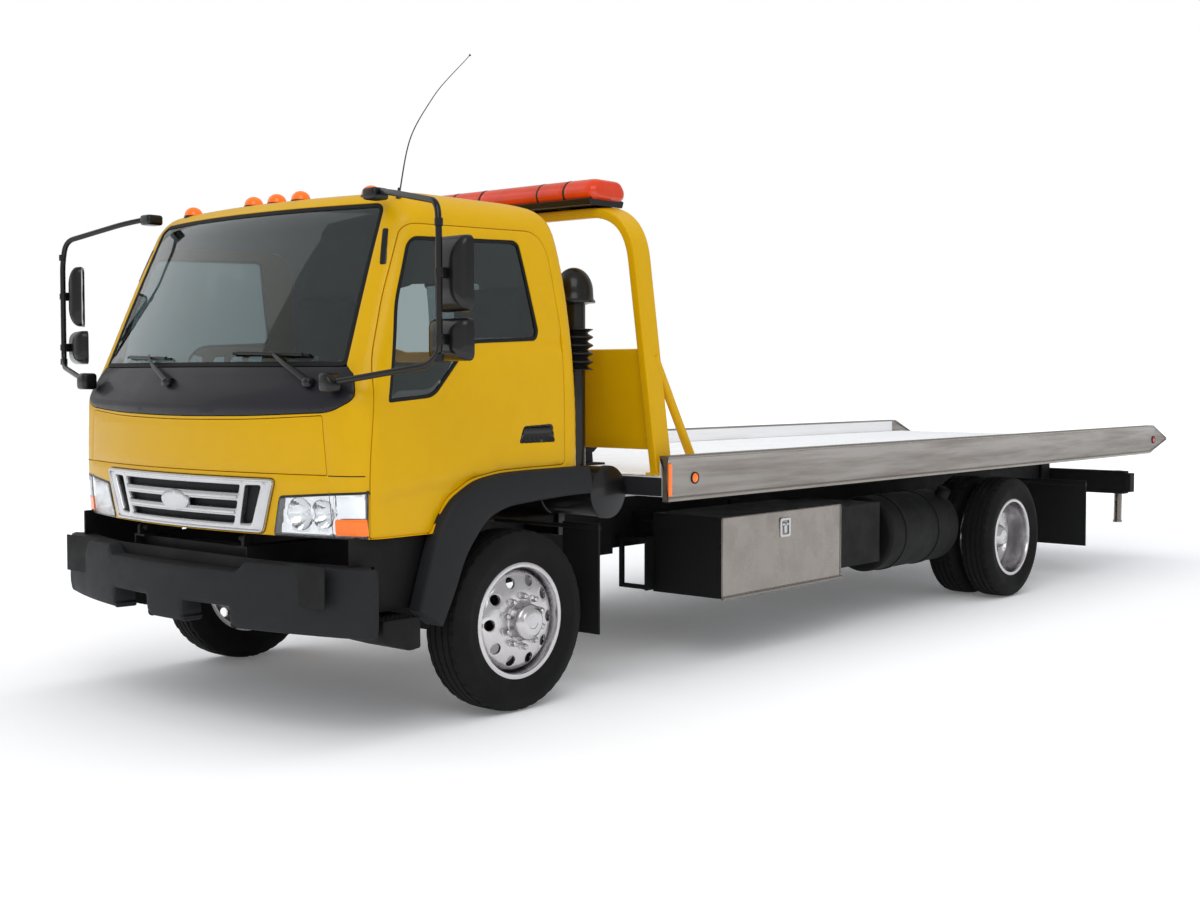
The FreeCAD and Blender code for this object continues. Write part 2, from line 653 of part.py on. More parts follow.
def knuckle():
    """Driver's side steering knuckle: kingpin yoke, stub axle and steering arm."""
    z = TYRE_R
    pin = bar((KINGPIN_X, 0, z - 105), (KINGPIN_X, 0, z + 105), KINGPIN_R, 10)
    top = box(KINGPIN_X - 34, KINGPIN_X + 60, -34, 34, z + 62, z + 100)
    low = box(KINGPIN_X - 34, KINGPIN_X + 60, -34, 34, z - 100, z - 62)
    web = box(KINGPIN_X + 42, KINGPIN_X + 62, -40, 40, z - 100, z + 100)
    stub = rod((KINGPIN_X + 50, 0, z), (FRONT_TRACK_X + 140, 0, z), SPINDLE_R)
    arm = box(KINGPIN_X - 60, KINGPIN_X - 28, 20, 190, z - 96, z - 72)
    return fused([pin, top, low, web, stub, arm])


def front_axle_beam():
    """Dropped front axle beam with an eye round each kingpin."""
    z = TYRE_R
    end = KINGPIN_X - 60.0
    seat = KINGPIN_X - 290.0
    profile = [(-end, z - 45), (-seat, z - 95), (seat, z - 95), (end, z - 45), (end, z + 40), (seat, z - 10),
               (-seat, z - 10), (-end, z + 40)]
    parts = [prism_y(profile, -45, 45)]
    for side in (1, -1):
        x = side * KINGPIN_X
        parts.append(bar((x, 0, z - 58), (x, 0, z + 58), 40.0, 12))
        parts.append(box(min(x, x - side * 90), max(x, x - side * 90), -38, 38, z - 45, z + 40))
    holes = [rod((s * KINGPIN_X, 0, z - 80), (s * KINGPIN_X, 0, z + 80), KINGPIN_R + SLIDE_FIT) for s in (1, -1)]
    return fused(parts).cut(holes)


def leaf_spring(y, seat_z, half_len):
    """Driver's side leaf pack with hangers to the frame."""
    x0 = RAIL_OUT_X + 25.0
    x1 = x0 + 70.0
    parts = []
    for k in range(3):
        reach = half_len * (1 - 0.25 * k)
        low = seat_z + 60.0 - 15.0 * k
        parts.append(prism_x([(y - reach, low + 26), (y - reach * 0.5, low + 7), (y, low), (y + reach * 0.5, low + 7),
                              (y + reach, low + 26), (y + reach, low + 41), (y + reach * 0.5, low + 22),
                              (y, low + 15), (y - reach * 0.5, low + 22), (y - reach, low + 41)], x0, x1))
    for end in (-1, 1):
        yc = y + end * half_len
        parts.append(box(RAIL_OUT_X, x1, yc - 35, yc + 35, seat_z + 75, 640))
    parts.append(box(x0 - 12, x1 + 12, y - 70, y + 70, seat_z, seat_z + 45))
    return fused(parts)


def leaf_springs():
    """Front and rear leaf springs with their hangers."""
    front = leaf_spring(0.0, TYRE_R - 10.0, 620.0)
    rear = leaf_spring(WHEELBASE, TYRE_R + 65.0, 700.0)
    return Part.makeCompound([front, mirrored(front), rear, mirrored(rear)])


def rear_axle():
    """Drive axle: one turned housing with its differential bowl and spindles, and the pinion nose."""
    side = [(AXLE_TUBE_END, 0.0), (AXLE_TUBE_END, AXLE_TUBE_R), (230.0, AXLE_TUBE_R), (120.0, 160.0),
            (60.0, AXLE_BOWL_R)]
    housing = lathe(side + [(-x, r) for x, r in reversed(side)], (0, WHEELBASE, TYRE_R), (1, 0, 0), HUB_SIDES)
    nose = bar((0, WHEELBASE - PINION_REACH, TYRE_R), (0, WHEELBASE - 60, TYRE_R), 80.0, 12)
    spindle = rod((-DUAL_OUTER_X, WHEELBASE, TYRE_R), (DUAL_OUTER_X, WHEELBASE, TYRE_R), SPINDLE_R)
    return fused([housing, nose, spindle])


def frame_rails():
    """Two channel rails of the ladder frame, with the rear pivot plates and cab hinge plates."""
    z0 = RAIL_TOP - RAIL_H
    profile = [(RAIL_OUT_X, z0), (RAIL_OUT_X, RAIL_TOP), (RAIL_OUT_X - RAIL_FLANGE, RAIL_TOP),
               (RAIL_OUT_X - RAIL_FLANGE, RAIL_TOP - RAIL_WALL), (RAIL_OUT_X - RAIL_WALL, RAIL_TOP - RAIL_WALL),
               (RAIL_OUT_X - RAIL_WALL, z0 + RAIL_WALL), (RAIL_OUT_X - RAIL_FLANGE, z0 + RAIL_WALL),
               (RAIL_OUT_X - RAIL_FLANGE, z0)]
    rail = prism_y(profile, FRAME_FRONT, FRAME_REAR)
    plate = prism_x([(PIVOT_Y - 110, 620), (PIVOT_Y + 40, 620), (PIVOT_Y + 40, PIVOT_Z), (PIVOT_Y + 20, PIVOT_Z + 32),
                     (PIVOT_Y - 20, PIVOT_Z + 32), (PIVOT_Y - 110, RAIL_TOP)], RAIL_OUT_X, RAIL_OUT_X + 25)
    hole = bar((RAIL_OUT_X - 5, PIVOT_Y, PIVOT_Z), (RAIL_OUT_X + 30, PIVOT_Y, PIVOT_Z), PIVOT_PIN_R + 2 * BORE_ROOM, 12)
    horn = box(388, 408, CAB_PIVOT_Y - HINGE_LUG_R, CAB_PIVOT_Y + HINGE_LUG_R, RAIL_TOP - 9, CAB_PIVOT_Z)
    horn = horn.fuse(bar((388, CAB_PIVOT_Y, CAB_PIVOT_Z), (408, CAB_PIVOT_Y, CAB_PIVOT_Z), HINGE_LUG_R, 12))
    pin = bar((352, CAB_PIVOT_Y, CAB_PIVOT_Z), (412, CAB_PIVOT_Y, CAB_PIVOT_Z), CAB_PIN_R, 12)
    return both_sides(fused([rail, plate.cut(hole), horn, pin]))


def frame_crossmembers():
    """Cross-members between the rails, high where the propeller shaft passes, and the lift base."""
    inside = RAIL_OUT_X - RAIL_WALL
    z0 = RAIL_TOP - RAIL_H + RAIL_WALL
    z1 = RAIL_TOP - RAIL_WALL
    parts = [box(-inside, inside, y - 40, y + 40, z0, z1) for y in (-880.0, 5500.0, 6700.0)]
    parts += [box(-inside, inside, y - 40, y + 40, z0 + 110, z1) for y in (1300.0, 2200.0)]
    return Part.makeCompound(parts + [lift_base()])


def lift_base():
    """Beam with four lugs that hold the lift cylinder base pins."""
    inside = RAIL_OUT_X - RAIL_WALL
    y = LIFT_BASE_Y
    z = LIFT_BASE_Z
    beam = box(-inside, inside, y - 160, y - 90, 575, 760)
    parts = [beam]
    for side in (1, -1):
        x = side * LIFT_X
        for a in (x - 55, x + 40):
            parts.append(prism_x([(y - 120, 580), (y - 120, z - 20), (y - 20, z - 32), (y + 32, z - 20),
                                  (y + 32, z + 32), (y - 90, 700)], a, a + 15))
        parts.append(bar((x - 55, y, z), (x + 55, y, z), LIFT_PIN_R, 12))
    return fused(parts)


def lift_parts():
    """Lift cylinder barrels and rods, drawn lowered."""
    start = V(0, LIFT_BASE_Y, LIFT_BASE_Z)
    end = V(0, LIFT_EYE_Y, LIFT_EYE_Z)
    axis = (end - start).normalize()
    reach = (end - start).Length
    barrels = []
    rods = []
    for side in (1, -1):
        x = V(side * LIFT_X, 0, 0)
        outer = bar(start + x + axis * 60.0, start + x + axis * (reach - 150.0), BARREL_R, 14)
        bore = bar(start + x + axis * 90.0, start + x + axis * (reach - 140.0), ROD_R + ROD_ROOM, 14)
        eye = bar((x.x - 24, start.y, start.z), (x.x + 24, start.y, start.z), 36.0, 12)
        neck = bar(start + x + axis * 10.0, start + x + axis * 70.0, 24.0, 8)
        hole = rod((x.x - 30, start.y, start.z), (x.x + 30, start.y, start.z), LIFT_PIN_R + SLIDE_FIT)
        barrels.append(fused([outer, eye, neck]).cut([bore, hole]))
        piston = bar(start + x + axis * 100.0, start + x + axis * (reach - 30.0), ROD_R, 14)
        rod_eye = bar((x.x - 24, end.y, end.z), (x.x + 24, end.y, end.z), 36.0, 12)
        rod_hole = bar((x.x - 30, end.y, end.z), (x.x + 30, end.y, end.z), LIFT_PIN_R, 12)
        rods.append(fused([piston, rod_eye]).cut(rod_hole))
    return Part.makeCompound(barrels), Part.makeCompound(rods)


def tilt_frame():
    """Sub-frame under the bed: two box rails, cross tubes, cylinder lugs and the rear pivot pin."""
    nose = PIVOT_PIN_R + 9.7
    base = PIVOT_Z - nose
    profile = [(TILT_FRONT, base), (PIVOT_Y, base), (PIVOT_Y + nose * 0.7, PIVOT_Z - nose * 0.7),
               (PIVOT_Y + nose, PIVOT_Z), (PIVOT_Y + nose, 860), (PIVOT_Y, TILT_TOP), (TILT_FRONT, TILT_TOP)]
    rail = prism_x(profile, TILT_RAIL_IN, TILT_RAIL_OUT)
    parts = [rail, mirrored(rail)]
    for y in (TILT_FRONT + 60, 2300.0, 3500.0, 5200.0, 6400.0):
        parts.append(box(-TILT_RAIL_IN - 5, TILT_RAIL_IN + 5, y - 35, y + 35, 790, 885))
    parts.append(box(-TILT_RAIL_IN - 5, TILT_RAIL_IN + 5, LIFT_EYE_Y + 110, LIFT_EYE_Y + 180, 800, 885))
    for side in (1, -1):
        x = side * LIFT_X
        for a in (x - 46, x + 31):
            parts.append(prism_x([(LIFT_EYE_Y + 120, 885), (LIFT_EYE_Y + 120, 805), (LIFT_EYE_Y + 20, LIFT_EYE_Z - 40),
                                  (LIFT_EYE_Y - 34, LIFT_EYE_Z - 30), (LIFT_EYE_Y - 34, LIFT_EYE_Z + 30),
                                  (LIFT_EYE_Y, 885)], a, a + 15))
    pin = rod((-RAIL_OUT_X - 28, PIVOT_Y, PIVOT_Z), (RAIL_OUT_X + 28, PIVOT_Y, PIVOT_Z), PIVOT_PIN_R)
    return fused(parts + [pin])


def bed_deck():
    """Deck plate with joists, long sills and slide runners under it and the tail wedge."""
    inner = BED_HALF_W - SIDE_T
    plate = box(-inner, inner, BED_FRONT, TAIL_BOTTOM_Y + 40, DECK_Z - DECK_T, DECK_Z)
    tail = prism_x([(TAIL_BOTTOM_Y - 60, JOIST_BOTTOM), (TAIL_BOTTOM_Y + 20, JOIST_BOTTOM - 10),
                    (TAIL_TIP_Y - 10, TAIL_TIP_Z - 6), (TAIL_TIP_Y - 10, TAIL_TIP_Z + 4),
                    (TAIL_BOTTOM_Y + 100, DECK_Z), (TAIL_BOTTOM_Y - 60, DECK_Z)], -inner, inner)
    parts = [plate, tail]
    step = (TAIL_BOTTOM_Y - 300 - BED_FRONT) / (JOIST_COUNT - 1)
    for k in range(JOIST_COUNT):
        y = BED_FRONT + k * step
        parts.append(box(-inner, inner, y, y + 60, JOIST_BOTTOM, DECK_Z - DECK_T))
    for side in (1, -1):
        x = side * (RAIL_OUT_X + 75)
        parts.append(box(x - 25, x + 25, BED_FRONT, TAIL_BOTTOM_Y, 845, DECK_Z - DECK_T))
        x = side * (TILT_RAIL_IN + TILT_RAIL_OUT) / 2
        parts.append(box(x - 30, x + 30, BED_FRONT + 60, TAIL_BOTTOM_Y - 60, TILT_TOP + SLIDE_FIT, JOIST_BOTTOM + 5))
    return fused(parts)


def bed_rails():
    """Deep side rails of the bed with a rolled lower lip and a beak at the tail."""
    x1 = BED_HALF_W - 6
    x0 = BED_HALF_W - SIDE_T + SLIDE_FIT
    side = [(BED_FRONT, BED_BOTTOM), (TAIL_BOTTOM_Y, BED_BOTTOM), (TAIL_TIP_Y, TAIL_TIP_Z), (TAIL_TOP_Y, BED_TOP),
            (BED_FRONT, BED_TOP)]
    plate = prism_x(side, x0, x1)
    lip = box(x1 - 8, BED_HALF_W, BED_FRONT, TAIL_BOTTOM_Y, BED_BOTTOM, BED_BOTTOM + 22)
    cap = box(x0 - 18, BED_HALF_W, BED_FRONT, TAIL_TOP_Y, BED_TOP - 16, BED_TOP)
    return both_sides(fused([plate, lip, cap]))


def headboard():
    """Leaning headboard: arched box tube, panel between the uprights, two round braces."""
    foot = DECK_Z + SLIDE_FIT
    r = HEAD_CORNER_R
    t = HEAD_TUBE_X

    def arch(grow):
        w = HEAD_HALF_W - grow
        top = HEAD_TOP - grow
        radius = r - grow
        wt = w - 55
        diag = radius * math.sqrt(0.5)
        edges = [
            Part.LineSegment(V(-w, 0, 800), V(-wt, 0, top - radius)),
            Part.Arc(V(-wt, 0, top - radius), V(-wt + radius - diag, 0, top - radius + diag), V(-wt + radius, 0, top)),
            Part.LineSegment(V(-wt + radius, 0, top), V(wt - radius, 0, top)),
            Part.Arc(V(wt - radius, 0, top), V(wt - radius + diag, 0, top - radius + diag), V(wt, 0, top - radius)),
            Part.LineSegment(V(wt, 0, top - radius), V(w, 0, 800)),
            Part.LineSegment(V(w, 0, 800), V(-w, 0, 800)),
        ]
        face = Part.Face(Part.Wire([e.toShape() for e in edges]))
        return face.extrude(V(0, HEAD_TUBE_Y, 0))

    frame = arch(0.0).cut(arch(t))
    panel = prism_y([(-HEAD_HALF_W + 40, PANEL_LOW), (HEAD_HALF_W - 40, PANEL_LOW), (HEAD_HALF_W - 55, PANEL_HIGH),
                     (-HEAD_HALF_W + 55, PANEL_HIGH)], 45, 85)
    body = fused([frame, panel])
    body.translate(V(0, HEAD_FOOT_Y - HEAD_TUBE_Y / 2, 0))
    body.rotate(V(0, HEAD_FOOT_Y, DECK_Z), V(1, 0, 0), HEAD_LEAN)
    body = body.common(box(-1300, 1300, 0, 2000, foot, 3000))
    brace = bar((1085, 930, 1590), (1085, 1290, DECK_Z - 40), 23.0, 8)
    pad = box(1050, 1120, 1240, 1330, foot, foot + 10)
    brace = brace.common(box(900, 1200, 0, 2000, foot, 3000))
    return fused([body, brace, mirrored(brace), pad, mirrored(pad)])


def head_top_y():
    """Centre line of the headboard's top tube, after its lean."""
    return HEAD_FOOT_Y - (HEAD_TOP - DECK_Z) * math.sin(math.radians(HEAD_LEAN))


def light_bar():
    """Warning light bar on two feet on top of the headboard."""
    y = head_top_y()
    top = DECK_Z + (HEAD_TOP - DECK_Z) * math.cos(math.radians(HEAD_LEAN))
    low = top + 62
    half = LIGHT_DEPTH / 2
    profile = [(y - half, low + 25), (y - half + 25, low), (y + half - 25, low), (y + half, low + 25),
               (y + half - 8, low + LIGHT_H - 45), (y + half - 50, low + LIGHT_H), (y - half + 50, low + LIGHT_H),
               (y - half + 8, low + LIGHT_H - 45)]
    bar = prism_x(profile, -LIGHT_HALF, LIGHT_HALF)
    parts = [bar]
    for side in (1, -1):
        x = side * 620
        foot = box(x - 45, x + 45, HEAD_FOOT_Y - 40, HEAD_FOOT_Y + 40, HEAD_TOP + SLIDE_FIT, HEAD_TOP + 72)
        foot.rotate(V(0, HEAD_FOOT_Y, DECK_Z), V(1, 0, 0), HEAD_LEAN)
        parts.append(foot)
    return fused(parts)


def bed_lamps():
    """Marker lamps on the bed: front reflectors, round ambers and round reds at the tail."""
    parts = []
    x = BED_HALF_W - 6 + SLIDE_FIT
    parts.append(box(x, x + 5, BED_FRONT + 4, BED_FRONT + 34, 906, 1070))
    for y in (BED_LAMP_FRONT_Y, BED_LAMP_REAR_Y):
        parts.append(bar((x, y, TAIL_TIP_Z), (x + 6, y, TAIL_TIP_Z), 30.0, 14))
    return both_sides(Part.makeCompound(parts))


def winch_frame():
    """Winch bearers bolted to the deck behind the headboard."""
    foot = DECK_Z + SLIDE_FIT
    parts = [box(-330, 330, WINCH_Y - 120, WINCH_Y + 120, foot, foot + 16)]
    for side in (1, -1):
        x = side * 240
        cheek = prism_x([(WINCH_Y - 110, foot), (WINCH_Y + 110, foot), (WINCH_Y + 90, 1230), (WINCH_Y - 90, 1230)],
                        x - 12, x + 12)
        parts.append(cheek)
        parts.append(bar((side * 250, WINCH_Y, WINCH_Z), (side * 330, WINCH_Y, WINCH_Z), 85.0, 10))
    hole = rod((-270, WINCH_Y, WINCH_Z), (270, WINCH_Y, WINCH_Z), WINCH_SHAFT_R + SLIDE_FIT)
    return fused(parts).cut(hole)


def winch_drum():
    """Flanged winch drum with its shaft, turned in one piece."""
    flange = 222.0
    side = [(flange - 6, 62.0), (flange - 6, 105.0), (flange + 6, 105.0), (flange + 6, WINCH_SHAFT_R),
            (268.0, WINCH_SHAFT_R), (268.0, 0.0)]
    return lathe([(-a, r) for a, r in reversed(side)] + side, (0, WINCH_Y, WINCH_Z), (1, 0, 0), 14)


def engine():
    """Engine under the cab as one plain block with its sump."""
    block = box(-270, 270, -440, 350, 640, 1160)
    sump = box(-190, 190, -380, 250, 440, 640)
    web = RAIL_OUT_X - RAIL_WALL
    mounts = box(-web, web, -60, 20, 642, 690)
    return fused([block, sump, mounts])


def drive_line():
    """Gearbox and propeller shaft."""
    gearbox = prism_y([(-170, 520), (170, 520), (150, 740), (-150, 740)], 350.3, 1150)
    shaft = bar((0, 1140, 610), (0, WHEELBASE - PINION_REACH + 30, TYRE_R + 15), 45.0, 12)
    shaft = shaft.common(box(-200, 200, 0, WHEELBASE - PINION_REACH - SLIDE_FIT, 0, 1000))
    return fused([gearbox, shaft])


def bumper():
    """Bowed front bumper, hollow behind, with tow slots, a lower middle and bored mounts to the frame."""
    def outline(offset):
        half = BUMPER_HALF_W - offset
        front = BUMPER_FRONT + offset
        corner_x = half - 90
        drop = corner_x ** 2 / (2 * FRONT_ARC_R)
        run = [(corner_x * t, front + drop * t * t) for t in (0.2, 0.45, 0.7, 0.88, 1.0)]
        run += [(half - 42, front + drop + 18), (half - 12, front + drop + 60), (half, front + drop + 110)]
        run.append((half, BUMPER_REAR + offset))
        ring = run + [(-x, y) for x, y in reversed(run)]
        return polygon_face([V(x, y, BUMPER_BOTTOM) for x, y in ring])

    height = BUMPER_TOP - BUMPER_BOTTOM
    body = outline(0.0).extrude(V(0, 0, height))
    hollow = outline(BUMPER_WALL).extrude(V(0, 0, height - 2 * BUMPER_WALL)).translated(V(0, 0, BUMPER_WALL))
    back = outline(BUMPER_WALL).extrude(V(0, 0, height + 20)).translated(V(0, SHELF_DEPTH, -10))
    slot = box(TOW_SLOT[0], TOW_SLOT[1], BUMPER_FRONT - 50, BUMPER_REAR, BUMPER_BOTTOM - 20, TOW_SLOT[2])
    step = BUMPER_TOP - BUMPER_DIP
    dip = prism_y([(-510, BUMPER_TOP + 5), (-480, step), (480, step), (510, BUMPER_TOP + 5)],
                  BUMPER_FRONT - 50, BUMPER_REAR)
    mount = box(RAIL_OUT_X - RAIL_FLANGE, RAIL_OUT_X, BUMPER_FRONT + 55, FRAME_FRONT, TOW_BOSS_Z0, TOW_BOSS_Z1)
    bore = rod((TOW_PIN_X, TOW_PIN_Y, TOW_BOSS_Z0 - 5), (TOW_PIN_X, TOW_PIN_Y, TOW_BOSS_Z1 + 5), TOW_PIN_R)
    shell = body.cut(hollow).cut(back).cut([slot, mirrored(slot), dip])
    return fused([shell, mount, mirrored(mount)]).cut(bore).cut(mirrored(bore))


def entry_steps():
    """Tread steps under the cab sides, hung from the frame."""
    tread = box(850, 1130, -790, -585, 340, 500).cut(box(860, 1120, -775, -600, 352, 488))
    arm = box(RAIL_OUT_X, 852, -720, -660, 575, 620)
    drop = box(850, 880, -720, -660, 480, 620)
    return both_sides(fused([tread, arm, drop]))


def toolbox():
    """Driver's side toolbox, open at the front where its door closes it."""
    body = box(BOX_IN_X, BOX_OUT_X - DOOR_T - SLIDE_FIT, BOX_Y0, BOX_Y1, BOX_Z0, BOX_Z1)
    space = box(BOX_IN_X + BOX_WALL, BOX_OUT_X + 50, BOX_Y0 + BOX_WALL, BOX_Y1 - BOX_WALL, BOX_Z0 + BOX_WALL,
                BOX_Z1 - BOX_WALL)
    parts = [body.cut(space)]
    for y in (BOX_Y0 + 100, BOX_Y1 - 160):
        parts.append(box(RAIL_OUT_X, BOX_IN_X, y, y + 60, 640, 700))
        parts.append(box(RAIL_OUT_X, RAIL_OUT_X + 12, y - 20, y + 80, 575, 755))
    frame = [box(RAIL_OUT_X, BOX_IN_X, BOX_Y0 - 62, BOX_Y0 - 40, 600, 625),
             box(460, BOX_IN_X, BOX_Y0 - 62, BOX_Y0 - 40, 350, 372),
             box(460, 482, BOX_Y0 - 62, BOX_Y0 - 40, 350, 625),
             box(BOX_IN_X - 10, BOX_IN_X + 6, BOX_Y0 - 62, BOX_Y0, 345, 630)]
    return fused(parts + frame)


def toolbox_door():
    """Drop-down toolbox door with its hinge knuckle and latch."""
    panel = box(BOX_OUT_X - DOOR_T, BOX_OUT_X, BOX_Y0 + 6, BOX_Y1 - 6, BOX_Z0 + 8, BOX_Z1 - 6)
    latch = box(BOX_OUT_X - 2, BOX_OUT_X + 6, (BOX_Y0 + BOX_Y1) / 2 - 50, (BOX_Y0 + BOX_Y1) / 2 + 50, 612, 722)
    hinge = rod((BOX_OUT_X, BOX_Y0 + 6, BOX_Z0), (BOX_OUT_X, BOX_Y1 - 6, BOX_Z0), BOX_HINGE_R)
    return fused([panel, latch, hinge])


def fuel_tank():
    """Round fuel tank on two straps beside the frame."""
    tank = bar((TANK_X, TANK_Y0, TANK_Z), (TANK_X, TANK_Y1, TANK_Z), TANK_R, 18)
    parts = [tank]
    for y in (TANK_Y0 + 190, TANK_Y1 - 260):
        parts.append(bar((TANK_X, y - 25, TANK_Z), (TANK_X, y + 25, TANK_Z), TANK_R + 6, 18))
        parts.append(box(RAIL_OUT_X, TANK_X - 100, y - 30, y + 30, 600, 660))
    cap_y = TANK_Y1 - 60
    parts.append(bar((TANK_X + 120, cap_y, TANK_Z + 190), (TANK_X + 150, cap_y, TANK_Z + 250), 48.0, 8))
    return fused(parts)


def battery_box():
    """Battery box between the toolbox and the tank, and the oil tank across from it."""
    def hung(x1, y0, y1, z0, z1):
        stays = [box(RAIL_OUT_X, SIDE_BOX_X, y, y + 60, 640, 700) for y in (y0 + BOX_GAP, y1 - BOX_GAP - 60)]
        return fused([box(SIDE_BOX_X, x1, y0, y1, z0, z1)] + stays)

    left = hung(1050, BATTERY_Y0, BATTERY_Y1, 370, 730)
    right = hung(1000, TANK_Y0, TANK_Y1 - 260, 360, 750)
    return Part.makeCompound([left, mirrored(right)])


def mud_flaps():
    """Mud flaps behind the front and rear wheels on their rods."""
    front = fused([box(890, 1120, 486, 496, 280, 800), bar((RAIL_OUT_X, 491, 780), (1122, 491, 780), 11.0, 8)])
    y = WHEELBASE + 1240
    rear = fused([box(620, 1180, y - 6, y + 6, 235, 720), bar((RAIL_OUT_X, y, 690), (1180, y, 690), 14.0, 8)])
    return Part.makeCompound([front, mirrored(front), rear, mirrored(rear)])


def lamp_beam():
    """Rear beam with its tail lamps and four through holes for a hitch."""
    beam = box(-1080, 1080, 6812, 6900, 560, 740)
    for x in (-HITCH_X / 2, HITCH_X / 2):
        for z in (HITCH_Z - HITCH_H / 2, HITCH_Z + HITCH_H / 2):
            beam = beam.cut(rod((x, 6800, z), (x, 6910, z), HITCH_HOLE_R))
    mounts = [box(s * 390 - 38, s * 390 + 38, FRAME_REAR, 6820, 580, 730) for s in (1, -1)]
    lamps = [box(s * 1105 - 25, s * 1105 + 25, 6816, 6896, 575, 725) for s in (1, -1)]
    return fused([beam, *mounts, *lamps])


def stand_tube():
    """Silver tube held behind the rear beam by a thin bracket."""
    stand = bar((975, 6945, 335), (965, 6985, 735), 32.0, 12)
    clamp = box(930, 1010, 6900, 6965, 640, 665)
    foot = bar((975, 6945, 335), (975, 6943, 320), 38.0, 12)
    return fused([stand, clamp, foot])


def air_intake():
    """Air cleaner canister, riser duct and hooded inlet behind the cab."""
    can = bar((610, 715, 930), (985, 715, 930), 130.0, 16)
    duct = bar((800, 680, 1020), (800, 665, 1860), 52.0, 8)
    bellows = bar((800, 672, 1520), (800, 668, 1720), 92.0, 10)
    hood = prism_x([(560, 1840), (770, 1840), (770, 1930), (720, 2010), (620, 2020), (570, 1950)], 715, 890)
    stay = box(RAIL_OUT_X, 660, 690, 740, 700, 745)
    post = box(630, 670, 690, 740, 700, 830)
    return fused([can, duct, bellows, hood, stay, post])


NODES = {
    "frame_rails": frame_rails,
    "frame_crossmembers": frame_crossmembers,
    "bumper": bumper,
    "front_axle_beam": front_axle_beam,
    "leaf_springs": leaf_springs,
    "rear_axle": rear_axle,
    "engine": engine,
    "drive_line": drive_line,
    "fuel_tank": fuel_tank,
    "battery_box": battery_box,
    "toolbox_left": toolbox,
    "toolbox_right": lambda: mirrored(toolbox()),
    "toolbox_door_left": toolbox_door,
    "toolbox_door_right": lambda: mirrored(toolbox_door()),
    "mud_flaps": mud_flaps,
    "lamp_beam": lamp_beam,
    "stand_tube": stand_tube,
    "air_intake": air_intake,
    "entry_steps": entry_steps,
    "cab_shell": cab_shell,
    "front_panel": front_panel,
    "cowl_band": cowl_band,
    "grille": grille,
    "headlamps": headlamps,
    "windscreen": windscreen,
    "rear_window": rear_window,
    "fenders": fenders,
    "roof_lamps": roof_lamps,
    "mirror_arms": mirror_arms,
    "mirror_heads": mirror_heads,
    "wipers": wipers,
    "aerial": aerial,
    "seats": seats,
    "dashboard": dashboard,
    "steering_wheel": steering_wheel,
    "door_left": door_panel,
    "door_right": lambda: mirrored(door_panel()),
    "door_glass_left": door_glass,
    "door_glass_right": lambda: mirrored(door_glass()),
    "knuckle_left": knuckle,
    "knuckle_right": lambda: mirrored(knuckle()),
    "tyre_front_left": lambda: tyre(FRONT_TRACK_X),
    "tyre_front_right": lambda: tyre(-FRONT_TRACK_X),
    "tyres_rear_left": lambda: rear_tyres(1),
    "tyres_rear_right": lambda: rear_tyres(-1),
    "rim_front_left": front_rim,
    "rim_front_right": lambda: mirrored(front_rim()),
    "rims_rear_left": rear_rim,
    "rims_rear_right": lambda: mirrored(rear_rim()),
    "tilt_frame": tilt_frame,
    "lift_barrels": lambda: lift_parts()[0],
    "lift_rods": lambda: lift_parts()[1],
    "bed_deck": bed_deck,
    "bed_rails": bed_rails,
    "headboard": headboard,
    "light_bar": light_bar,
    "bed_lamps": bed_lamps,
    "winch_frame": winch_frame,
    "winch_drum": winch_drum,
}


def rear_tyres(side):
    """Twin tyres of one rear wheel pair."""
    pair = [tyre(side * DUAL_OUTER_X), tyre(side * DUAL_INNER_X)]
    return Part.makeCompound(pair).translated(V(0, WHEELBASE, 0))


def main():
    """Build each subcomponent and write it to its own file."""
    os.makedirs("parts", exist_ok=True)
    for offset in (0.0, -CAB_WALL):
        CAB_LAYERS[offset] = cab_solid(offset)
    for name, make in NODES.items():
        shape = make().translated(V(0, ORIGIN_Y, 0))
        bad = [s for s in shape.Solids if not s.isValid()]
        print(f"{name}: {len(shape.Solids)} solids, {shape.Volume / 1e9:.4f} m3, valid {not bad}")
        shape.exportStep(f"parts/{name}.step")


main()
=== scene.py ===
import json
import logging
import math
from collections.abc import Callable, Sequence
from dataclasses import dataclass, field
from enum import Enum

import bmesh
import bpy
import numpy as np
from mathutils import Matrix, Vector
from mathutils.geometry import delaunay_2d_cdt

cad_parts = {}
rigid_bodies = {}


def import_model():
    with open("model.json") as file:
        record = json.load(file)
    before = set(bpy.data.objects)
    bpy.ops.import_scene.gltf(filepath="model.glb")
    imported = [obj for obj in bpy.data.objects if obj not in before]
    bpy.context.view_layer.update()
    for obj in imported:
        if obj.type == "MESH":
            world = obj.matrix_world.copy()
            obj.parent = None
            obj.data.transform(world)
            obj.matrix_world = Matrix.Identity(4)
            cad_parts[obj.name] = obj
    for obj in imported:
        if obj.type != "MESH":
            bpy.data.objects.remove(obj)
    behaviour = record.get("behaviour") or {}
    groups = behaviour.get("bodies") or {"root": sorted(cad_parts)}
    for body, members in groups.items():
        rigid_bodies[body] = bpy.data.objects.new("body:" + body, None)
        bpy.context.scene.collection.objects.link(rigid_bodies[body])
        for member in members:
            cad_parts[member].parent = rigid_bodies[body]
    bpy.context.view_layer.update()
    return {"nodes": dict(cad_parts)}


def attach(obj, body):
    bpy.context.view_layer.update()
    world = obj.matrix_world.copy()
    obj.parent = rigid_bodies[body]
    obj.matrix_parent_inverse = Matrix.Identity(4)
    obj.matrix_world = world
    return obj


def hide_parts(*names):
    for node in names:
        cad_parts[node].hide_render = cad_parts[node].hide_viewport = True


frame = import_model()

# Shapes are worked out in millimetres with y = 0 at the front axle, as in the part's own
# source, and go to metres in the row's frame when their mesh is made.
FRONT_AXLE_Y = -3125
MM = 0.001
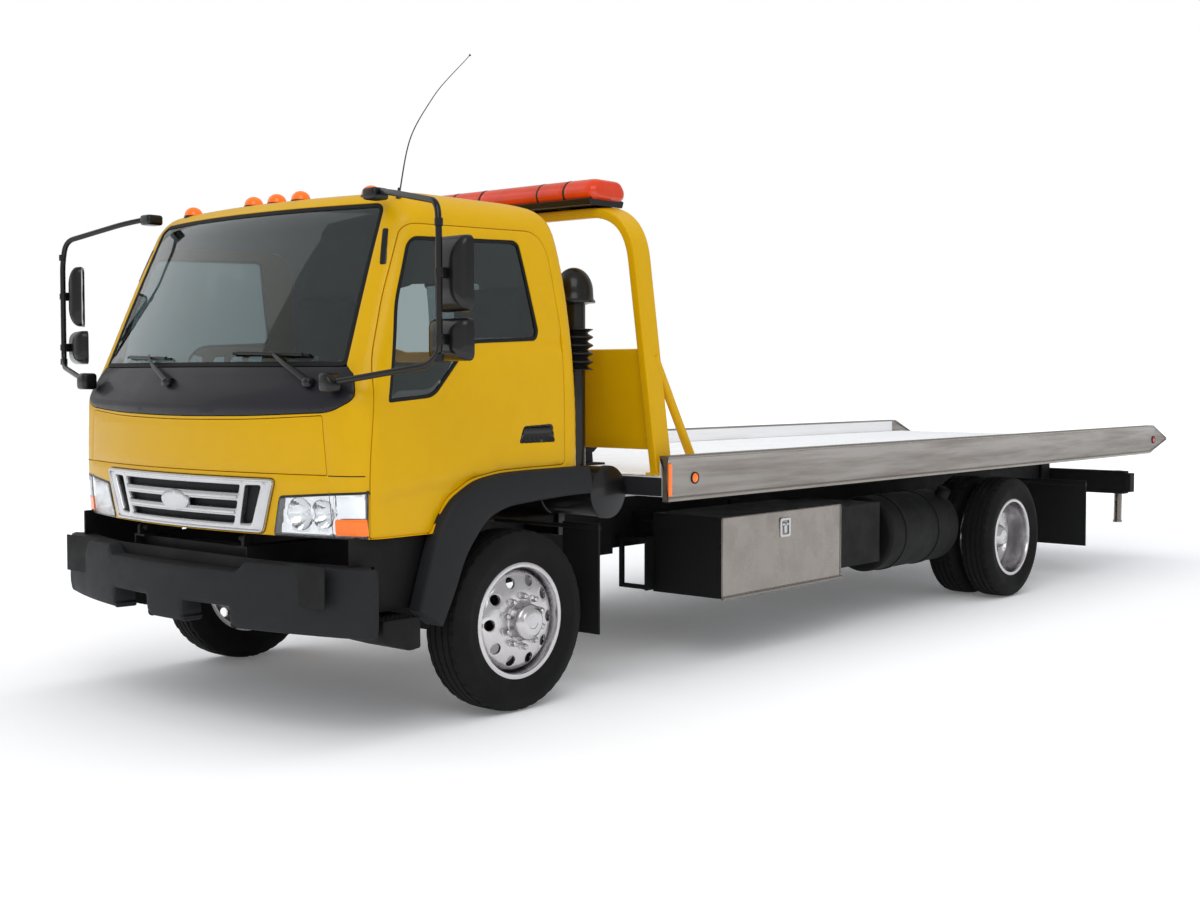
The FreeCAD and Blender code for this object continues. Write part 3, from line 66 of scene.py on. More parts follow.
# radius of the bowed front that cab, dashboard and bumper share
BOW_RADIUS = 3200
LOG = logging.getLogger("truck")

Array = np.ndarray
Mapping = Callable[[Array, float], Array]
Tree = bpy.types.NodeTree
Socket = bpy.types.NodeSocket
Point = Sequence[float]
Corners = Sequence[Sequence[float]]
Run = tuple[tuple[float, float, float], ...]


@dataclass
class Surface:
    """Points in millimetres and the faces between them.

    Args:
        points: (n, 3) places.
        quads: (k, 4) corner numbers of the four-sided faces.
        tris: (m, 3) corner numbers of the three-sided faces.
    """

    points: Array
    quads: Array
    tris: Array

    def flipped(self) -> "Surface":
        """The same surface with its faces turned over."""
        return Surface(self.points, self.quads[:, ::-1], self.tris[:, ::-1])

    def mirrored(self) -> "Surface":
        """The mirror image on the other side of the vehicle, its faces still outwards."""
        return Surface(self.points * (-1, 1, 1), self.quads, self.tris).flipped()

    def both(self) -> "Surface":
        """The surface together with its mirror image."""
        return joined([self, self.mirrored()])

    def moved(self, x: float = 0, y: float = 0, z: float = 0) -> "Surface":
        """The surface moved by an offset."""
        return Surface(self.points + (x, y, z), self.quads, self.tris)

    def turned(self, axis: str, degrees: float, about: Point = (0, 0, 0)) -> "Surface":
        """The surface turned about a line through a point.

        Args:
            axis: "X", "Y" or "Z".
            degrees: angle by the right-hand rule.
            about: a point on the line.
        Returns:
            The turned surface.
        """
        spin = np.array(Matrix.Rotation(math.radians(degrees), 3, axis))
        return Surface((self.points - about) @ spin.T + about, self.quads, self.tris)

    def outward(self) -> "Surface":
        """A closed surface with its faces outwards: its volume by the sum of cone volumes is positive."""
        fans = np.vstack([self.tris, self.quads[:, [0, 1, 2]], self.quads[:, [0, 2, 3]]])
        a, b, c = (self.points[fans[:, k]] for k in range(3))
        return self if np.einsum("ij,ij->", a, np.cross(b, c)) >= 0 else self.flipped()


def joined(parts: Sequence[Surface]) -> Surface:
    """Several surfaces as one, each with its corner numbers moved on by the points before it."""
    starts = np.cumsum([0] + [len(p.points) for p in parts[:-1]])
    quads, tris = (np.vstack([f + s for f, s in zip(faces, starts)])
        for faces in ([p.quads for p in parts], [p.tris for p in parts]))
    return Surface(np.vstack([p.points for p in parts]), quads, tris)


def grid(points: Array, round_u: bool = False, round_v: bool = False) -> Surface:
    """Quads over a grid of points: each joins (u, v), (u+1, v), (u+1, v+1) and (u, v+1).

    Args:
        points: (nu, nv, 3) places.
        round_u: the last row joins the first.
        round_v: the last column joins the first.
    Returns:
        The surface.
    """
    nu, nv = points.shape[:2]
    index = np.arange(nu * nv).reshape(nu, nv)
    if round_u:
        index = np.vstack([index, index[:1]])
    if round_v:
        index = np.hstack([index, index[:, :1]])
    corners = (index[:-1, :-1], index[1:, :-1], index[1:, 1:], index[:-1, 1:])
    quads = np.stack(corners, -1).reshape(-1, 4)
    return Surface(points.reshape(-1, 3), quads, np.empty((0, 3), int))


def smooth_curve(knots: Array, values: Array, at: Array) -> Array:
    """Smooth curve through knots that never swings past them.

    Cubic pieces whose slope at a knot is the harmonic mean of the slopes on its two sides,
    or 0 where these point opposite ways.

    Args:
        knots: rising knot places.
        values: value at each knot.
        at: where to read the curve.
    Returns:
        The value at each place.
    """
    knots, values, at = np.asarray(knots, float), np.asarray(values, float), np.asarray(at, float)
    step = np.diff(knots)
    slope = np.diff(values) / step
    same = slope[:-1] * slope[1:] > 0
    mean = np.where(same, 2 * slope[:-1] * slope[1:] / np.where(same, slope[:-1] + slope[1:], 1), 0)
    ends = np.concatenate([slope[:1], mean, slope[-1:]])
    k = np.clip(np.searchsorted(knots, at, side="right") - 1, 0, len(step) - 1)
    t = np.clip((at - knots[k]) / step[k], 0, 1)
    h = step[k]
    return (
        (1 + 2 * t) * (1 - t) ** 2 * values[k]
        + t * (1 - t) ** 2 * h * ends[k]
        + t * t * (3 - 2 * t) * values[k + 1]
        - t * t * (1 - t) * h * ends[k + 1]
    )


def smooth_step(low: float, high: float, value: Array) -> Array:
    """Eased ramp from 0 at low to 1 at high: 3t^2 - 2t^3."""
    t = np.clip((value - low) / (high - low), 0, 1)
    return t * t * (3 - 2 * t)


def full_turn(sides: int) -> Array:
    """Even angles round a circle, the first at 0."""
    return np.linspace(0, 2 * math.pi, sides, endpoint=False)


def quarter_turn(count: int) -> Array:
    """Even angles from 0 to a right angle."""
    return np.linspace(0, math.pi / 2, count)


def bow(x: Array) -> Array:
    """How far the bowed front falls back at a distance from the middle: x^2 / 2r."""
    return x ** 2 / (2 * BOW_RADIUS)


def apart(path: Array) -> Array:
    """The path without points that lie on the one before them."""
    return path[np.append(True, np.linalg.norm(np.diff(path, axis=0), axis=1) > 0.5)]


def capped(rings: Array) -> Surface:
    """Closed form over rings of points, with a fan to the middle of its first and its last ring."""
    first, last = (np.broadcast_to(r.mean(0), r.shape) for r in (rings[0], rings[-1]))
    return grid(np.stack([first, *rings, last]), round_v=True).outward()


def lathe(profile: Sequence[tuple[float, float]], sides: int = 72, centre: Point = (0, 0, 0),
        axis: str = "X") -> Surface:
    """Turned form: each profile point (along, radius) goes round its axis as a circle.

    Args:
        profile: places along the axis with their radii; radius 0 at both ends closes it.
        sides: points round the circle.
        centre: a point on the axis, where along is 0.
        axis: "X", "Y" or "Z".
    Returns:
        The closed surface.
    """
    along, radius = np.asarray(profile, float).T
    turn = full_turn(sides)
    ring = np.stack([np.zeros(sides), np.cos(turn), np.sin(turn)], -1)
    points = along[:, None, None] * (1, 0, 0) + radius[:, None, None] * ring[None]
    order = {"X": [0, 1, 2], "Y": [2, 0, 1], "Z": [1, 2, 0]}[axis]
    return grid(points[..., order] + np.asarray(centre, float), round_v=True).outward()


def rounded(corners: Corners, bend: float | Sequence[float], closed: bool = True, steps: int = 5) -> Array:
    """Run of corners with each corner rounded by a parabola between points a bend away from it.

    Args:
        corners: places in the plane or in space.
        bend: distance from a corner to where its rounding starts, one for all or one each.
        closed: the last corner joins the first.
        steps: runs in each rounding.
    Returns:
        (n, d) points.
    """
    pts = np.asarray(corners, float)
    before, after = np.roll(pts, 1, 0) - pts, np.roll(pts, -1, 0) - pts
    span_b, span_a = np.linalg.norm(before, axis=1), np.linalg.norm(after, axis=1)
    reach = np.minimum(np.broadcast_to(bend, len(pts)), 0.48 * np.minimum(span_b, span_a))[:, None]
    into, away = pts + before / span_b[:, None] * reach, pts + after / span_a[:, None] * reach
    t = np.linspace(0, 1, steps + 1)[None, :, None]
    arcs = into[:, None] * (1 - t) ** 2 + pts[:, None] * 2 * t * (1 - t) + away[:, None] * t * t
    if closed:
        return arcs.reshape(-1, pts.shape[1])
    return np.vstack([pts[:1], arcs[1:-1].reshape(-1, pts.shape[1]), pts[-1:]])


def circle(radius: float, sides: int = 24, centre: Point = (0, 0)) -> Array:
    """Points round a circle, anticlockwise."""
    turn = full_turn(sides)
    return np.stack([np.cos(turn), np.sin(turn)], -1) * radius + centre


def oblong(width: float, height: float, bend: float, steps: int = 4) -> Array:
    """Rectangle about the origin with rounded corners, anticlockwise."""
    w, h = width / 2, height / 2
    return rounded([(-w, -h), (w, -h), (w, h), (-w, h)], bend, steps=steps)


def sweep(path: Array, section: Array, up: Point = (0, 0, 1), scale: Array | float = 1,
        closed: bool = False) -> Surface:
    """Section carried along a path; its first axis is square to path and up, its second nearly along up.

    Args:
        path: (n, 3) centre line.
        section: (m, 2) closed outline.
        up: direction that the path is never parallel to.
        scale: size of the section at each path point.
        closed: the path joins its own start; otherwise its ends are capped.
    Returns:
        The closed surface.
    """
    path = np.asarray(path, float)
    if closed:
        way = np.roll(path, -1, 0) - np.roll(path, 1, 0)
    else:
        way = np.gradient(path, axis=0)
    way /= np.linalg.norm(way, axis=1)[:, None]
    side = np.cross(way, up)
    side /= np.linalg.norm(side, axis=1)[:, None]
    over = np.cross(side, way)
    size = np.broadcast_to(scale, len(path))[:, None, None]
    rings = path[:, None] + size * (side[:, None] * section[None, :, :1] + over[:, None] * section[None, :, 1:])
    if not closed:
        rings = np.concatenate([rings[:1] * 0 + path[0], rings, rings[:1] * 0 + path[-1]])
    return grid(rings, round_u=closed, round_v=True).outward()


def block(size: Point, centre: Point, edge: float, bend: float | None = None) -> Surface:
    """Moulded block: rings of a rounded rectangle, drawn in at both ends along a quarter circle.

    Args:
        size: full size along x, y and z; the rings lie square to z.
        centre: its middle.
        edge: radius of the quarter circle at the top and bottom edges.
        bend: rounding of the upright corners, the same as edge when left out.
    Returns:
        The closed surface.
    """
    turn = quarter_turn(4)
    inset = edge * (1 - np.sin(turn))
    lift = size[2] / 2 - edge * (1 - np.cos(turn))
    levels = [(edge + 0.45 * min(size[:2]), -size[2] / 2), *zip(inset, -lift)]
    ring = oblong(size[0], size[1], edge if bend is None else bend)
    half = np.abs(ring).max(0)
    rings = [np.column_stack([ring * (1 - np.minimum(i / half, 0.98)), np.full(len(ring), z)])
        for i, z in levels]
    rings += [r * (1, 1, -1) for r in reversed(rings)]
    return capped(np.stack(rings)).moved(*centre)


def parallel(outline: Array, inset: float) -> Array:
    """Closed anticlockwise outline drawn in by a distance along the mean normal of each point's two edges."""
    edge = np.roll(outline, -1, 0) - outline
    edge /= np.maximum(np.linalg.norm(edge, axis=1), 1e-9)[:, None]
    inward = np.stack([-edge[:, 1], edge[:, 0]], -1)
    mean = inward + np.roll(inward, 1, 0)
    mean /= np.maximum((mean * inward).sum(1), 0.5)[:, None]
    return outline + mean * inset


def anticlockwise(outline: Array) -> Array:
    """The outline with its area positive."""
    x, y = outline.T
    return outline if (x * np.roll(y, -1) - y * np.roll(x, -1)).sum() > 0 else outline[::-1]


def divided(outline: Array, step: float) -> Array:
    """Closed outline with each run cut into equal parts no longer than a step."""
    after = np.roll(outline, -1, 0)
    count = np.maximum(np.ceil(np.linalg.norm(after - outline, axis=1) / step).astype(int), 1)
    start = np.repeat(np.arange(len(outline)), count)
    part = (np.arange(len(start)) - np.repeat(np.cumsum(count) - count, count)) / count[start]
    return outline[start] + (after - outline)[start] * part[:, None]


def within(points: Array, loops: Sequence[Array]) -> Array:
    """True for points inside the first loop and outside the rest, by counting the edges to their right."""
    inside = np.zeros(len(points), int)
    for loop in loops:
        a, b = loop, np.roll(loop, -1, 0)
        px, py = points[:, :1], points[:, 1:]
        spans = (a[:, 1] > py) != (b[:, 1] > py)
        rise = np.where(b[:, 1] == a[:, 1], 1, b[:, 1] - a[:, 1])
        inside += (spans & (px < a[:, 0] + (py - a[:, 1]) / rise * (b[:, 0] - a[:, 0]))).sum(1)
    return inside % 2 == 1


def trimmed(mapping: Mapping, outline: Array, holes: Sequence[Array] = (), spacing: float = 28,
        outer: float = 0, depth: float = 4, roll: float = 1.5,
        seam: Callable[[Array], Array] | None = None) -> Surface:
    """Closed plate cut from a curved surface, with its edges rolled over.

    Triangles fill the flat outline between its edge and an even grid of points, and the mapping
    bends them. The edge goes outwards along a quarter circle, then straight down to the back.

    Args:
        mapping: gives places in space for flat points and a height over the surface.
        outline: closed flat outline.
        holes: closed outlines cut from it.
        spacing: grid spacing and longest edge run.
        outer: height of the front face.
        depth: thickness.
        roll: radius of the rolled edge.
        seam: marks flat edge points that meet another part, where no wall is made.
    Returns:
        The closed surface.
    """
    loops = [parallel(anticlockwise(divided(outline, spacing)), roll)]
    loops += [parallel(anticlockwise(divided(h, spacing)), -roll) for h in holes]
    if seam is not None:
        loops[0] = anticlockwise(divided(outline, spacing))
    border = np.vstack(loops)
    low, high = border.min(0), border.max(0)
    cols, rows = (np.arange(low[k] + spacing / 2, high[k], spacing) for k in (0, 1))
    inner = np.stack(np.meshgrid(cols, rows), -1)
    inner[1::2, :, 0] += spacing / 2
    inner = inner.reshape(-1, 2)
    inner = inner[within(inner, loops)]
    near = ((border[None] - inner[:, None]) ** 2).sum(-1).min(1) if len(inner) else np.empty(0)
    inner = inner[near > (0.55 * spacing) ** 2]
    starts = np.cumsum([0] + [len(loop) for loop in loops])
    edges = [(s + k, s + (k + 1) % len(loop)) for s, loop in zip(starts, loops) for k in range(len(loop))]
    found = delaunay_2d_cdt([Vector(p) for p in np.vstack([border, inner])], edges, [], 0, 1e-3)
    flat = np.array([tuple(v) for v in found[0]])
    tris = np.array([f for f in found[2] if len(f) == 3])
    tris = tris[within(flat[tris].mean(1), loops)]
    # edges that one triangle alone has, in that triangle's own sense
    pairs = tris[:, [0, 1, 1, 2, 2, 0]].reshape(-1, 2)
    key = pairs[:, 0] * len(flat) + pairs[:, 1]
    rim = pairs[~np.isin(key, pairs[:, 1] * len(flat) + pairs[:, 0])]
    if seam is not None:
        on_seam = seam(flat)
        rim = rim[~(on_seam[rim[:, 0]] & on_seam[rim[:, 1]])]
    run = flat[rim[:, 1]] - flat[rim[:, 0]]
    run /= np.maximum(np.linalg.norm(run, axis=1), 1e-9)[:, None]
    out = np.zeros_like(flat)
    for k in (0, 1):
        np.add.at(out, rim[:, k], np.stack([run[:, 1], -run[:, 0]], -1))
    out /= np.maximum(np.linalg.norm(out, axis=1), 1e-9)[:, None]
    steps = [(0, 0), (0.71, 0.29), (1, 1)]
    layers = [mapping(flat + out * roll * a, outer - roll * b) for a, b in steps]
    if depth <= roll:
        return _walled(layers, tris, rim, None)
    layers += [mapping(flat + out * roll, outer - depth), mapping(flat, outer - depth)]
    return _walled(layers, tris, rim, tris[:, ::-1])


def _walled(layers: Sequence[Array], front: Array, rim: Array, back: Array | None) -> Surface:
    """Front and back triangles with quads between the layers along the rim.

    Args:
        layers: the same points at each layer, front first.
        front: triangles of the first layer.
        rim: its edges that get a wall.
        back: triangles of the last layer, if it is closed.
    Returns:
        The surface without its unused points.
    """
    count = len(layers[0])
    a, b = rim.T
    quads = np.vstack([np.stack([b, a, a + count, b + count], -1) + k * count for k in range(len(layers) - 1)])
    tris = front if back is None else np.vstack([front, back + count * (len(layers) - 1)])
    used = np.unique(np.concatenate([quads.ravel(), tris.ravel()]))
    new = np.zeros(count * len(layers), int)
    new[used] = np.arange(len(used))
    return Surface(np.vstack(layers)[used], new[quads], new[tris])


def plane_map(origin: Point, across: Point, upward: Point) -> Mapping:
    """Mapping onto a flat plane: origin + u across + v upward, with heights along their cross product."""
    o, a, u = (np.asarray(v, float) for v in (origin, across, upward))
    face = np.cross(a, u)
    return lambda flat, height: o + flat[:, :1] * a + flat[:, 1:] * u + height * face


def side_plane(x: float, y: float = 0, z: float = 0) -> Mapping:
    """Mapping onto an upright plane along the vehicle that faces the driver's side."""
    return plane_map((x, y, z), (0, 1, 0), (0, 0, 1))


def linear(code: str) -> tuple[float, float, float, float]:
    """sRGB hex code to linear light: (c + 0.055) / 1.055 to the power 2.4, or c / 12.92 when dark."""
    parts = [int(code.lstrip("#")[k:k + 2], 16) / 255 for k in (0, 2, 4)]
    light = [c / 12.92 if c <= 0.04045 else ((c + 0.055) / 1.055) ** 2.4 for c in parts]
    return (*light, 1)


def fill_inputs(tree: Tree, node: bpy.types.Node, inputs: dict) -> None:
    """Sets a node's named or numbered inputs: an output socket is linked, anything else is a value."""
    for name, value in inputs.items():
        if isinstance(value, Socket):
            tree.links.new(value, node.inputs[name])
        else:
            node.inputs[name].default_value = value


def add_node(tree: Tree, kind: str, settings: dict | None = None, inputs: dict | None = None) -> bpy.types.Node:
    """Adds a node with its settings and links.

    Args:
        tree: the material's or world's nodes.
        kind: Blender's type name.
        settings: attribute values by name.
        inputs: a value or an output socket for each named or numbered input.
    Returns:
        The node.
    """
    node = tree.nodes.new(kind)
    for name, value in (settings or {}).items():
        setattr(node, name, value)
    fill_inputs(tree, node, inputs or {})
    return node


def math_node(tree: Tree, operation: str, first: Socket, second: Socket) -> Socket:
    """Output of a math node on two sockets."""
    return add_node(tree, "ShaderNodeMath", {"operation": operation}, {0: first, 1: second}).outputs[0]


class Grain(Enum):
    """How a surface breaks up the light."""

    PEEL = "fine ripple of sprayed paint"
    LEATHER = "moulded leather-like grain"
    BRUSHED = "long scratches of one direction"
    CLOUDED = "soft clouds of handled metal"
    CAST = "pitted casting skin"
    WOVEN = "threads over and under"
    RIBBED = "even ribs of a pressed lens"
    SMOOTH = "nothing but light soiling"


@dataclass(frozen=True)
class Finish:
    """One real surface finish as a node material.

    Args:
        name: what the material is, in common words.
        colour: main sRGB colour.
        second: colour of its soiled or worn places.
        rough: roughness where clean.
        rough_spread: how much patches differ in roughness.
        metallic: 1 for bare metal.
        grain: the pattern of its bump.
        grain_mm: size of one feature of the pattern.
        stretch: how the pattern is drawn out along x, y and z; small is long.
        bump: height of the pattern, 0 to 1.
        coat: weight of a clear layer.
        clear: how much light passes.
        ior: index of refraction, for non-metals.
        glow: light it gives back from inside, for lenses.
        soil: share of the second colour.
        shine: level of the plain reflection of a non-metal.
    """

    name: str
    colour: str
    second: str
    rough: float
    rough_spread: float = 0.08
    metallic: float = 0
    grain: Grain = Grain.SMOOTH
    grain_mm: float = 2
    stretch: tuple[float, float, float] = (1, 1, 1)
    bump: float = 0.1
    coat: float = 0
    clear: float = 0
    ior: float = 1.5
    glow: float = 0
    soil: float = 0.15
    shine: float = 0.3

    def _height(self, tree: Tree, place: Socket) -> Socket:
        """Socket with the height pattern at its real size, from object coordinates in metres."""
        per_metre = 1000 / self.grain_mm
        spread = add_node(tree, "ShaderNodeMapping", {"vector_type": "POINT"},
            {"Vector": place, "Scale": tuple(per_metre * s for s in self.stretch)})
        where = {"Vector": spread.outputs["Vector"]}
        if self.grain is Grain.WOVEN:
            warp, weft = (add_node(tree, "ShaderNodeTexWave", {"bands_direction": d},
                {**where, "Scale": 0.32, "Distortion": 0.4}) for d in ("X", "Z"))
            return math_node(tree, "MAXIMUM", warp.outputs["Fac"], weft.outputs["Fac"])
        if self.grain is Grain.RIBBED:
            return add_node(tree, "ShaderNodeTexWave", {"bands_direction": "X", "wave_profile": "SIN"},
                {**where, "Scale": 0.31, "Distortion": 0}).outputs["Fac"]
        if self.grain is Grain.LEATHER:
            return add_node(tree, "ShaderNodeTexVoronoi", {"feature": "SMOOTH_F1"},
                {**where, "Scale": 1, "Smoothness": 0.6}).outputs["Distance"]
        detail = 2 if self.grain in (Grain.PEEL, Grain.SMOOTH) else 6
        return add_node(tree, "ShaderNodeTexNoise", {"noise_dimensions": "3D"},
            {**where, "Scale": 1, "Detail": detail, "Roughness": 0.6}).outputs["Fac"]

    def make(self) -> bpy.types.Material:
        """Builds the material: soiling in patches, varied roughness and the grain as bump."""
        material = bpy.data.materials.new(self.name)
        material.use_nodes = True
        tree = material.node_tree
        shader = tree.nodes["Principled BSDF"]
        place = add_node(tree, "ShaderNodeTexCoord").outputs["Object"]
        # patches a hand wide, as rain, dust and wiping leave them; streaks where the metal is brushed
        drawn = add_node(tree, "ShaderNodeMapping", {"vector_type": "POINT"},
            {"Vector": place, "Scale": tuple(max(s, 0.06) for s in self.stretch)}).outputs["Vector"]
        patches = add_node(tree, "ShaderNodeTexNoise", {"noise_dimensions": "3D"},
            {"Vector": drawn, "Scale": 18 if self.grain is Grain.BRUSHED else 6, "Detail": 5,
            "Roughness": 0.65}).outputs["Fac"]
        share = add_node(tree, "ShaderNodeMapRange", {}, {"Value": patches, "From Min": 0.42, "From Max": 0.75,
            "To Min": 0, "To Max": self.soil})
        colour = add_node(tree, "ShaderNodeMix", {"data_type": "RGBA"},
            {"Factor": share.outputs["Result"], 6: linear(self.colour), 7: linear(self.second)})
        rough = add_node(tree, "ShaderNodeMapRange", {}, {"Value": patches, "From Min": 0.3, "From Max": 0.7,
            "To Min": self.rough, "To Max": min(self.rough + self.rough_spread, 1)})
        inputs = {"Base Color": colour.outputs[2], "Roughness": rough.outputs["Result"],
            "Metallic": self.metallic}
        if self.bump:
            bump = add_node(tree, "ShaderNodeBump", {}, {"Strength": self.bump,
                "Distance": min(self.grain_mm * 0.3, 3) * MM, "Height": self._height(tree, place)})
            inputs["Normal"] = bump.outputs["Normal"]
        if not self.metallic:
            inputs |= {"IOR": self.ior, "Specular IOR Level": 0.5 if self.clear else self.shine}
        if self.coat:
            inputs |= {"Coat Weight": self.coat, "Coat Roughness": 0.03}
        if self.clear:
            inputs["Transmission Weight"] = self.clear
        if self.glow:
            inputs |= {"Emission Color": linear(self.colour), "Emission Strength": self.glow}
        fill_inputs(tree, shader, inputs)
        return material


# Each finish starts from the real material; the comment says what the eye gets from it.
FINISHES = {
    # two-pack enamel: deep even yellow under a hard gloss, with a faint ripple
    "cab_paint": Finish("Yellow two-pack enamel", "#DDAB00", "#C99800", 0.35, 0.06, grain=Grain.PEEL,
        grain_mm=9, bump=0.02, coat=0.12, soil=0.2, shine=0.16),
    # chassis black: satin brushed-on paint with road dust
    "dark_paint": Finish("Satin black chassis enamel", "#070708", "#11100F", 0.55, 0.2, grain=Grain.CAST,
        grain_mm=14, bump=0.12, soil=0.5),
    # polypropylene moulding: charcoal with a pressed leather grain that kills the shine
    "dark_plastic": Finish("Grained polypropylene", "#1C1D20", "#25272A", 0.6, 0.12, grain=Grain.LEATHER,
        grain_mm=5, bump=0.35, soil=0.3),
    # black moulding: a soft gloss that shows the edges of mirrors and wipers
    "gloss_black": Finish("Black ABS moulding", "#0A0A0C", "#131417", 0.3, 0.12, grain=Grain.LEATHER,
        grain_mm=3, bump=0.08, coat=0.3),
    # slate band under the glass: a dark blue-grey lacquer
    "slate_band": Finish("Slate grey lacquer", "#18181F", "#222229", 0.45, 0.08, grain=Grain.PEEL, grain_mm=8,
        bump=0.02, coat=0.15),
    # vacuum-plated grille plastic: silver, a little milky
    "bright_trim": Finish("Satin chrome plating", "#C4C4C6", "#9C9C9F", 0.2, 0.1, metallic=1, grain_mm=20,
        bump=0.02),
    # rolled aluminium sheet: brushed along the bed, dull grey-brown from the road
    "aluminium": Finish("Brushed aluminium extrusion", "#A8A39E", "#857D74", 0.4, 0.12, metallic=1,
        grain=Grain.BRUSHED, grain_mm=3, stretch=(1, 0.015, 1), bump=0.3, soil=0.8),
    # toolbox sheet: bright aluminium with cloudy handling marks
    "bright_sheet": Finish("Bright aluminium sheet", "#969089", "#77716A", 0.22, 0.1, metallic=1,
        grain=Grain.CLOUDED, grain_mm=220, bump=0.06, soil=0.3),
    # forged wheel: buffed to a mirror with faint turning marks
    "polished": Finish("Polished forged aluminium", "#CFCDCF", "#B0AEB0", 0.2, 0.1, metallic=1, grain_mm=30,
        bump=0.02, soil=0.3),
    # deck extrusion: pale mill-finish metal, its near-white colour partly painted sky light that stands in for
    # the light falling on the deck from above
    "deck_alloy": Finish("Mill-finish aluminium planks", "#F7F7F7", "#E2E2E2", 0.6, 0.15, grain=Grain.BRUSHED,
        grain_mm=4, stretch=(1, 0.02, 1), bump=0.2, soil=0.5),
    # tyre rubber: near black, dusty on the walls
    "tyre": Finish("Tyre rubber", "#080808", "#131211", 0.75, 0.2, grain=Grain.CAST, grain_mm=4, bump=0.15,
        ior=1.52, soil=0.5),
    # flaps and seals: soft moulded rubber
    "flap_rubber": Finish("Moulded black rubber", "#0C0C0D", "#181817", 0.6, 0.15, grain=Grain.LEATHER,
        grain_mm=4, bump=0.15, ior=1.52),
    # laminated screen: grey-green float glass
    "glass": Finish("Tinted laminated glass", "#8E9C9E", "#87979A", 0, 0.01, grain_mm=300, bump=0, clear=1,
        soil=0.1),
    # lamp cover: clear polycarbonate with a few pressed flutes
    "clear_lens": Finish("Clear polycarbonate", "#F2F4F5", "#E6E9EA", 0.02, 0.02, grain=Grain.RIBBED,
        grain_mm=14, bump=0.08, clear=1, ior=1.58, soil=0.05),
    # amber lens: pressed acrylic that glows when light stands behind it
    "amber_lens": Finish("Amber acrylic lens", "#FF7A14", "#E65A08", 0.12, 0.06, grain=Grain.RIBBED, grain_mm=8,
        bump=0.15, coat=0.5, glow=0.12, soil=0.3),
    # light bar lens: deep orange-red with close ribs
    "bar_lens": Finish("Orange-red acrylic lens", "#DB3A08", "#A51D05", 0.12, 0.06, grain=Grain.RIBBED,
        grain_mm=11, bump=0.3, coat=0.6, glow=0.1, soil=0.5),
    # tail lens: signal red
    "red_lens": Finish("Red acrylic lens", "#C51A12", "#96120C", 0.12, 0.05, grain=Grain.RIBBED, grain_mm=6,
        bump=0.12, coat=0.5, glow=0.08),
    # vacuum-coated bowl behind the lens
    "reflector": Finish("Mirror-coated reflector", "#F0F0F2", "#D8D8DC", 0.05, 0.04, metallic=1, grain_mm=22,
        bump=0.05),
    # seat cloth: coarse grey weave, drawn at 6 mm so that it shows
    "seat_cloth": Finish("Grey woven seat cloth", "#6B6D70", "#4E5053", 0.85, 0.1, grain=Grain.WOVEN,
        grain_mm=6, bump=0.5, soil=0.4),
    # dash and lining: light grey grained vinyl
    "interior": Finish("Light grey grained vinyl", "#A9ACAD", "#8F9293", 0.6, 0.1, grain=Grain.LEATHER,
        grain_mm=3, bump=0.2, soil=0.2),
    # axle parts: cast iron under thin black paint
    "axle_iron": Finish("Painted cast iron", "#0F0F0E", "#231E1A", 0.65, 0.2, grain=Grain.CAST, grain_mm=6,
        bump=0.4, soil=0.6),
    # cylinder rod: ground hard chrome
    "rod_chrome": Finish("Ground hard chrome", "#D0D2D6", "#B5B7BB", 0.08, 0.05, metallic=1,
        grain=Grain.BRUSHED, grain_mm=1, stretch=(1, 0.05, 1), bump=0.03),
}

_MADE: dict[str, bpy.types.Material] = {}


def finish(name: str) -> bpy.types.Material:
    """The material of a finish, made once."""
    if name not in _MADE:
        _MADE[name] = FINISHES[name].make()
    return _MADE[name]


def emit(name: str, surface: Surface, body: str, look: str, replaces: Sequence[str] = (), sharp: float = 32,
        weld: float = 0.02) -> bpy.types.Object:
    """Puts a surface into a mesh object that rides on a body.

    Args:
        name: the piece's plain name.
        surface: its shape in millimetres from the front axle.
        body: the CAD body that it moves with.
        look: name of its finish.
        replaces: CAD nodes that it stands for.
        sharp: edges that turn by more than this many degrees stay hard.
        weld: points nearer than this many millimetres become one, which closes poles and seams.
    Returns:
        The object.
    """
    points = (surface.points + (0, FRONT_AXLE_Y, 0)) * MM
    sizes = np.concatenate([np.full(len(surface.quads), 4), np.full(len(surface.tris), 3)])
    corners = np.concatenate([surface.quads.ravel(), surface.tris.ravel()]).astype(np.int32)
    mesh = bpy.data.meshes.new(name)
    mesh.vertices.add(len(points))
    mesh.vertices.foreach_set("co", points.ravel())
    mesh.loops.add(len(corners))
    mesh.loops.foreach_set("vertex_index", corners)
    mesh.polygons.add(len(sizes))
    mesh.polygons.foreach_set("loop_start", (np.cumsum(sizes) - sizes).astype(np.int32))
    mesh.update(calc_edges=True)
    mesh.validate()
    work = bmesh.new()
    work.from_mesh(mesh)
    bmesh.ops.remove_doubles(work, verts=work.verts, dist=weld * MM)
    work.to_mesh(mesh)
    work.free()
    mesh.polygons.foreach_set("use_smooth", np.ones(len(mesh.polygons), bool))
    mesh.set_sharp_from_angle(angle=math.radians(sharp))
    piece = bpy.data.objects.new(name, mesh)
    bpy.context.scene.collection.objects.link(piece)
    mesh.materials.append(finish(look))
    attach(piece, body)
    if replaces:
        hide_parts(*replaces)
    LOG.info("%s: %d faces on %s", name, len(mesh.polygons), body)
    return piece


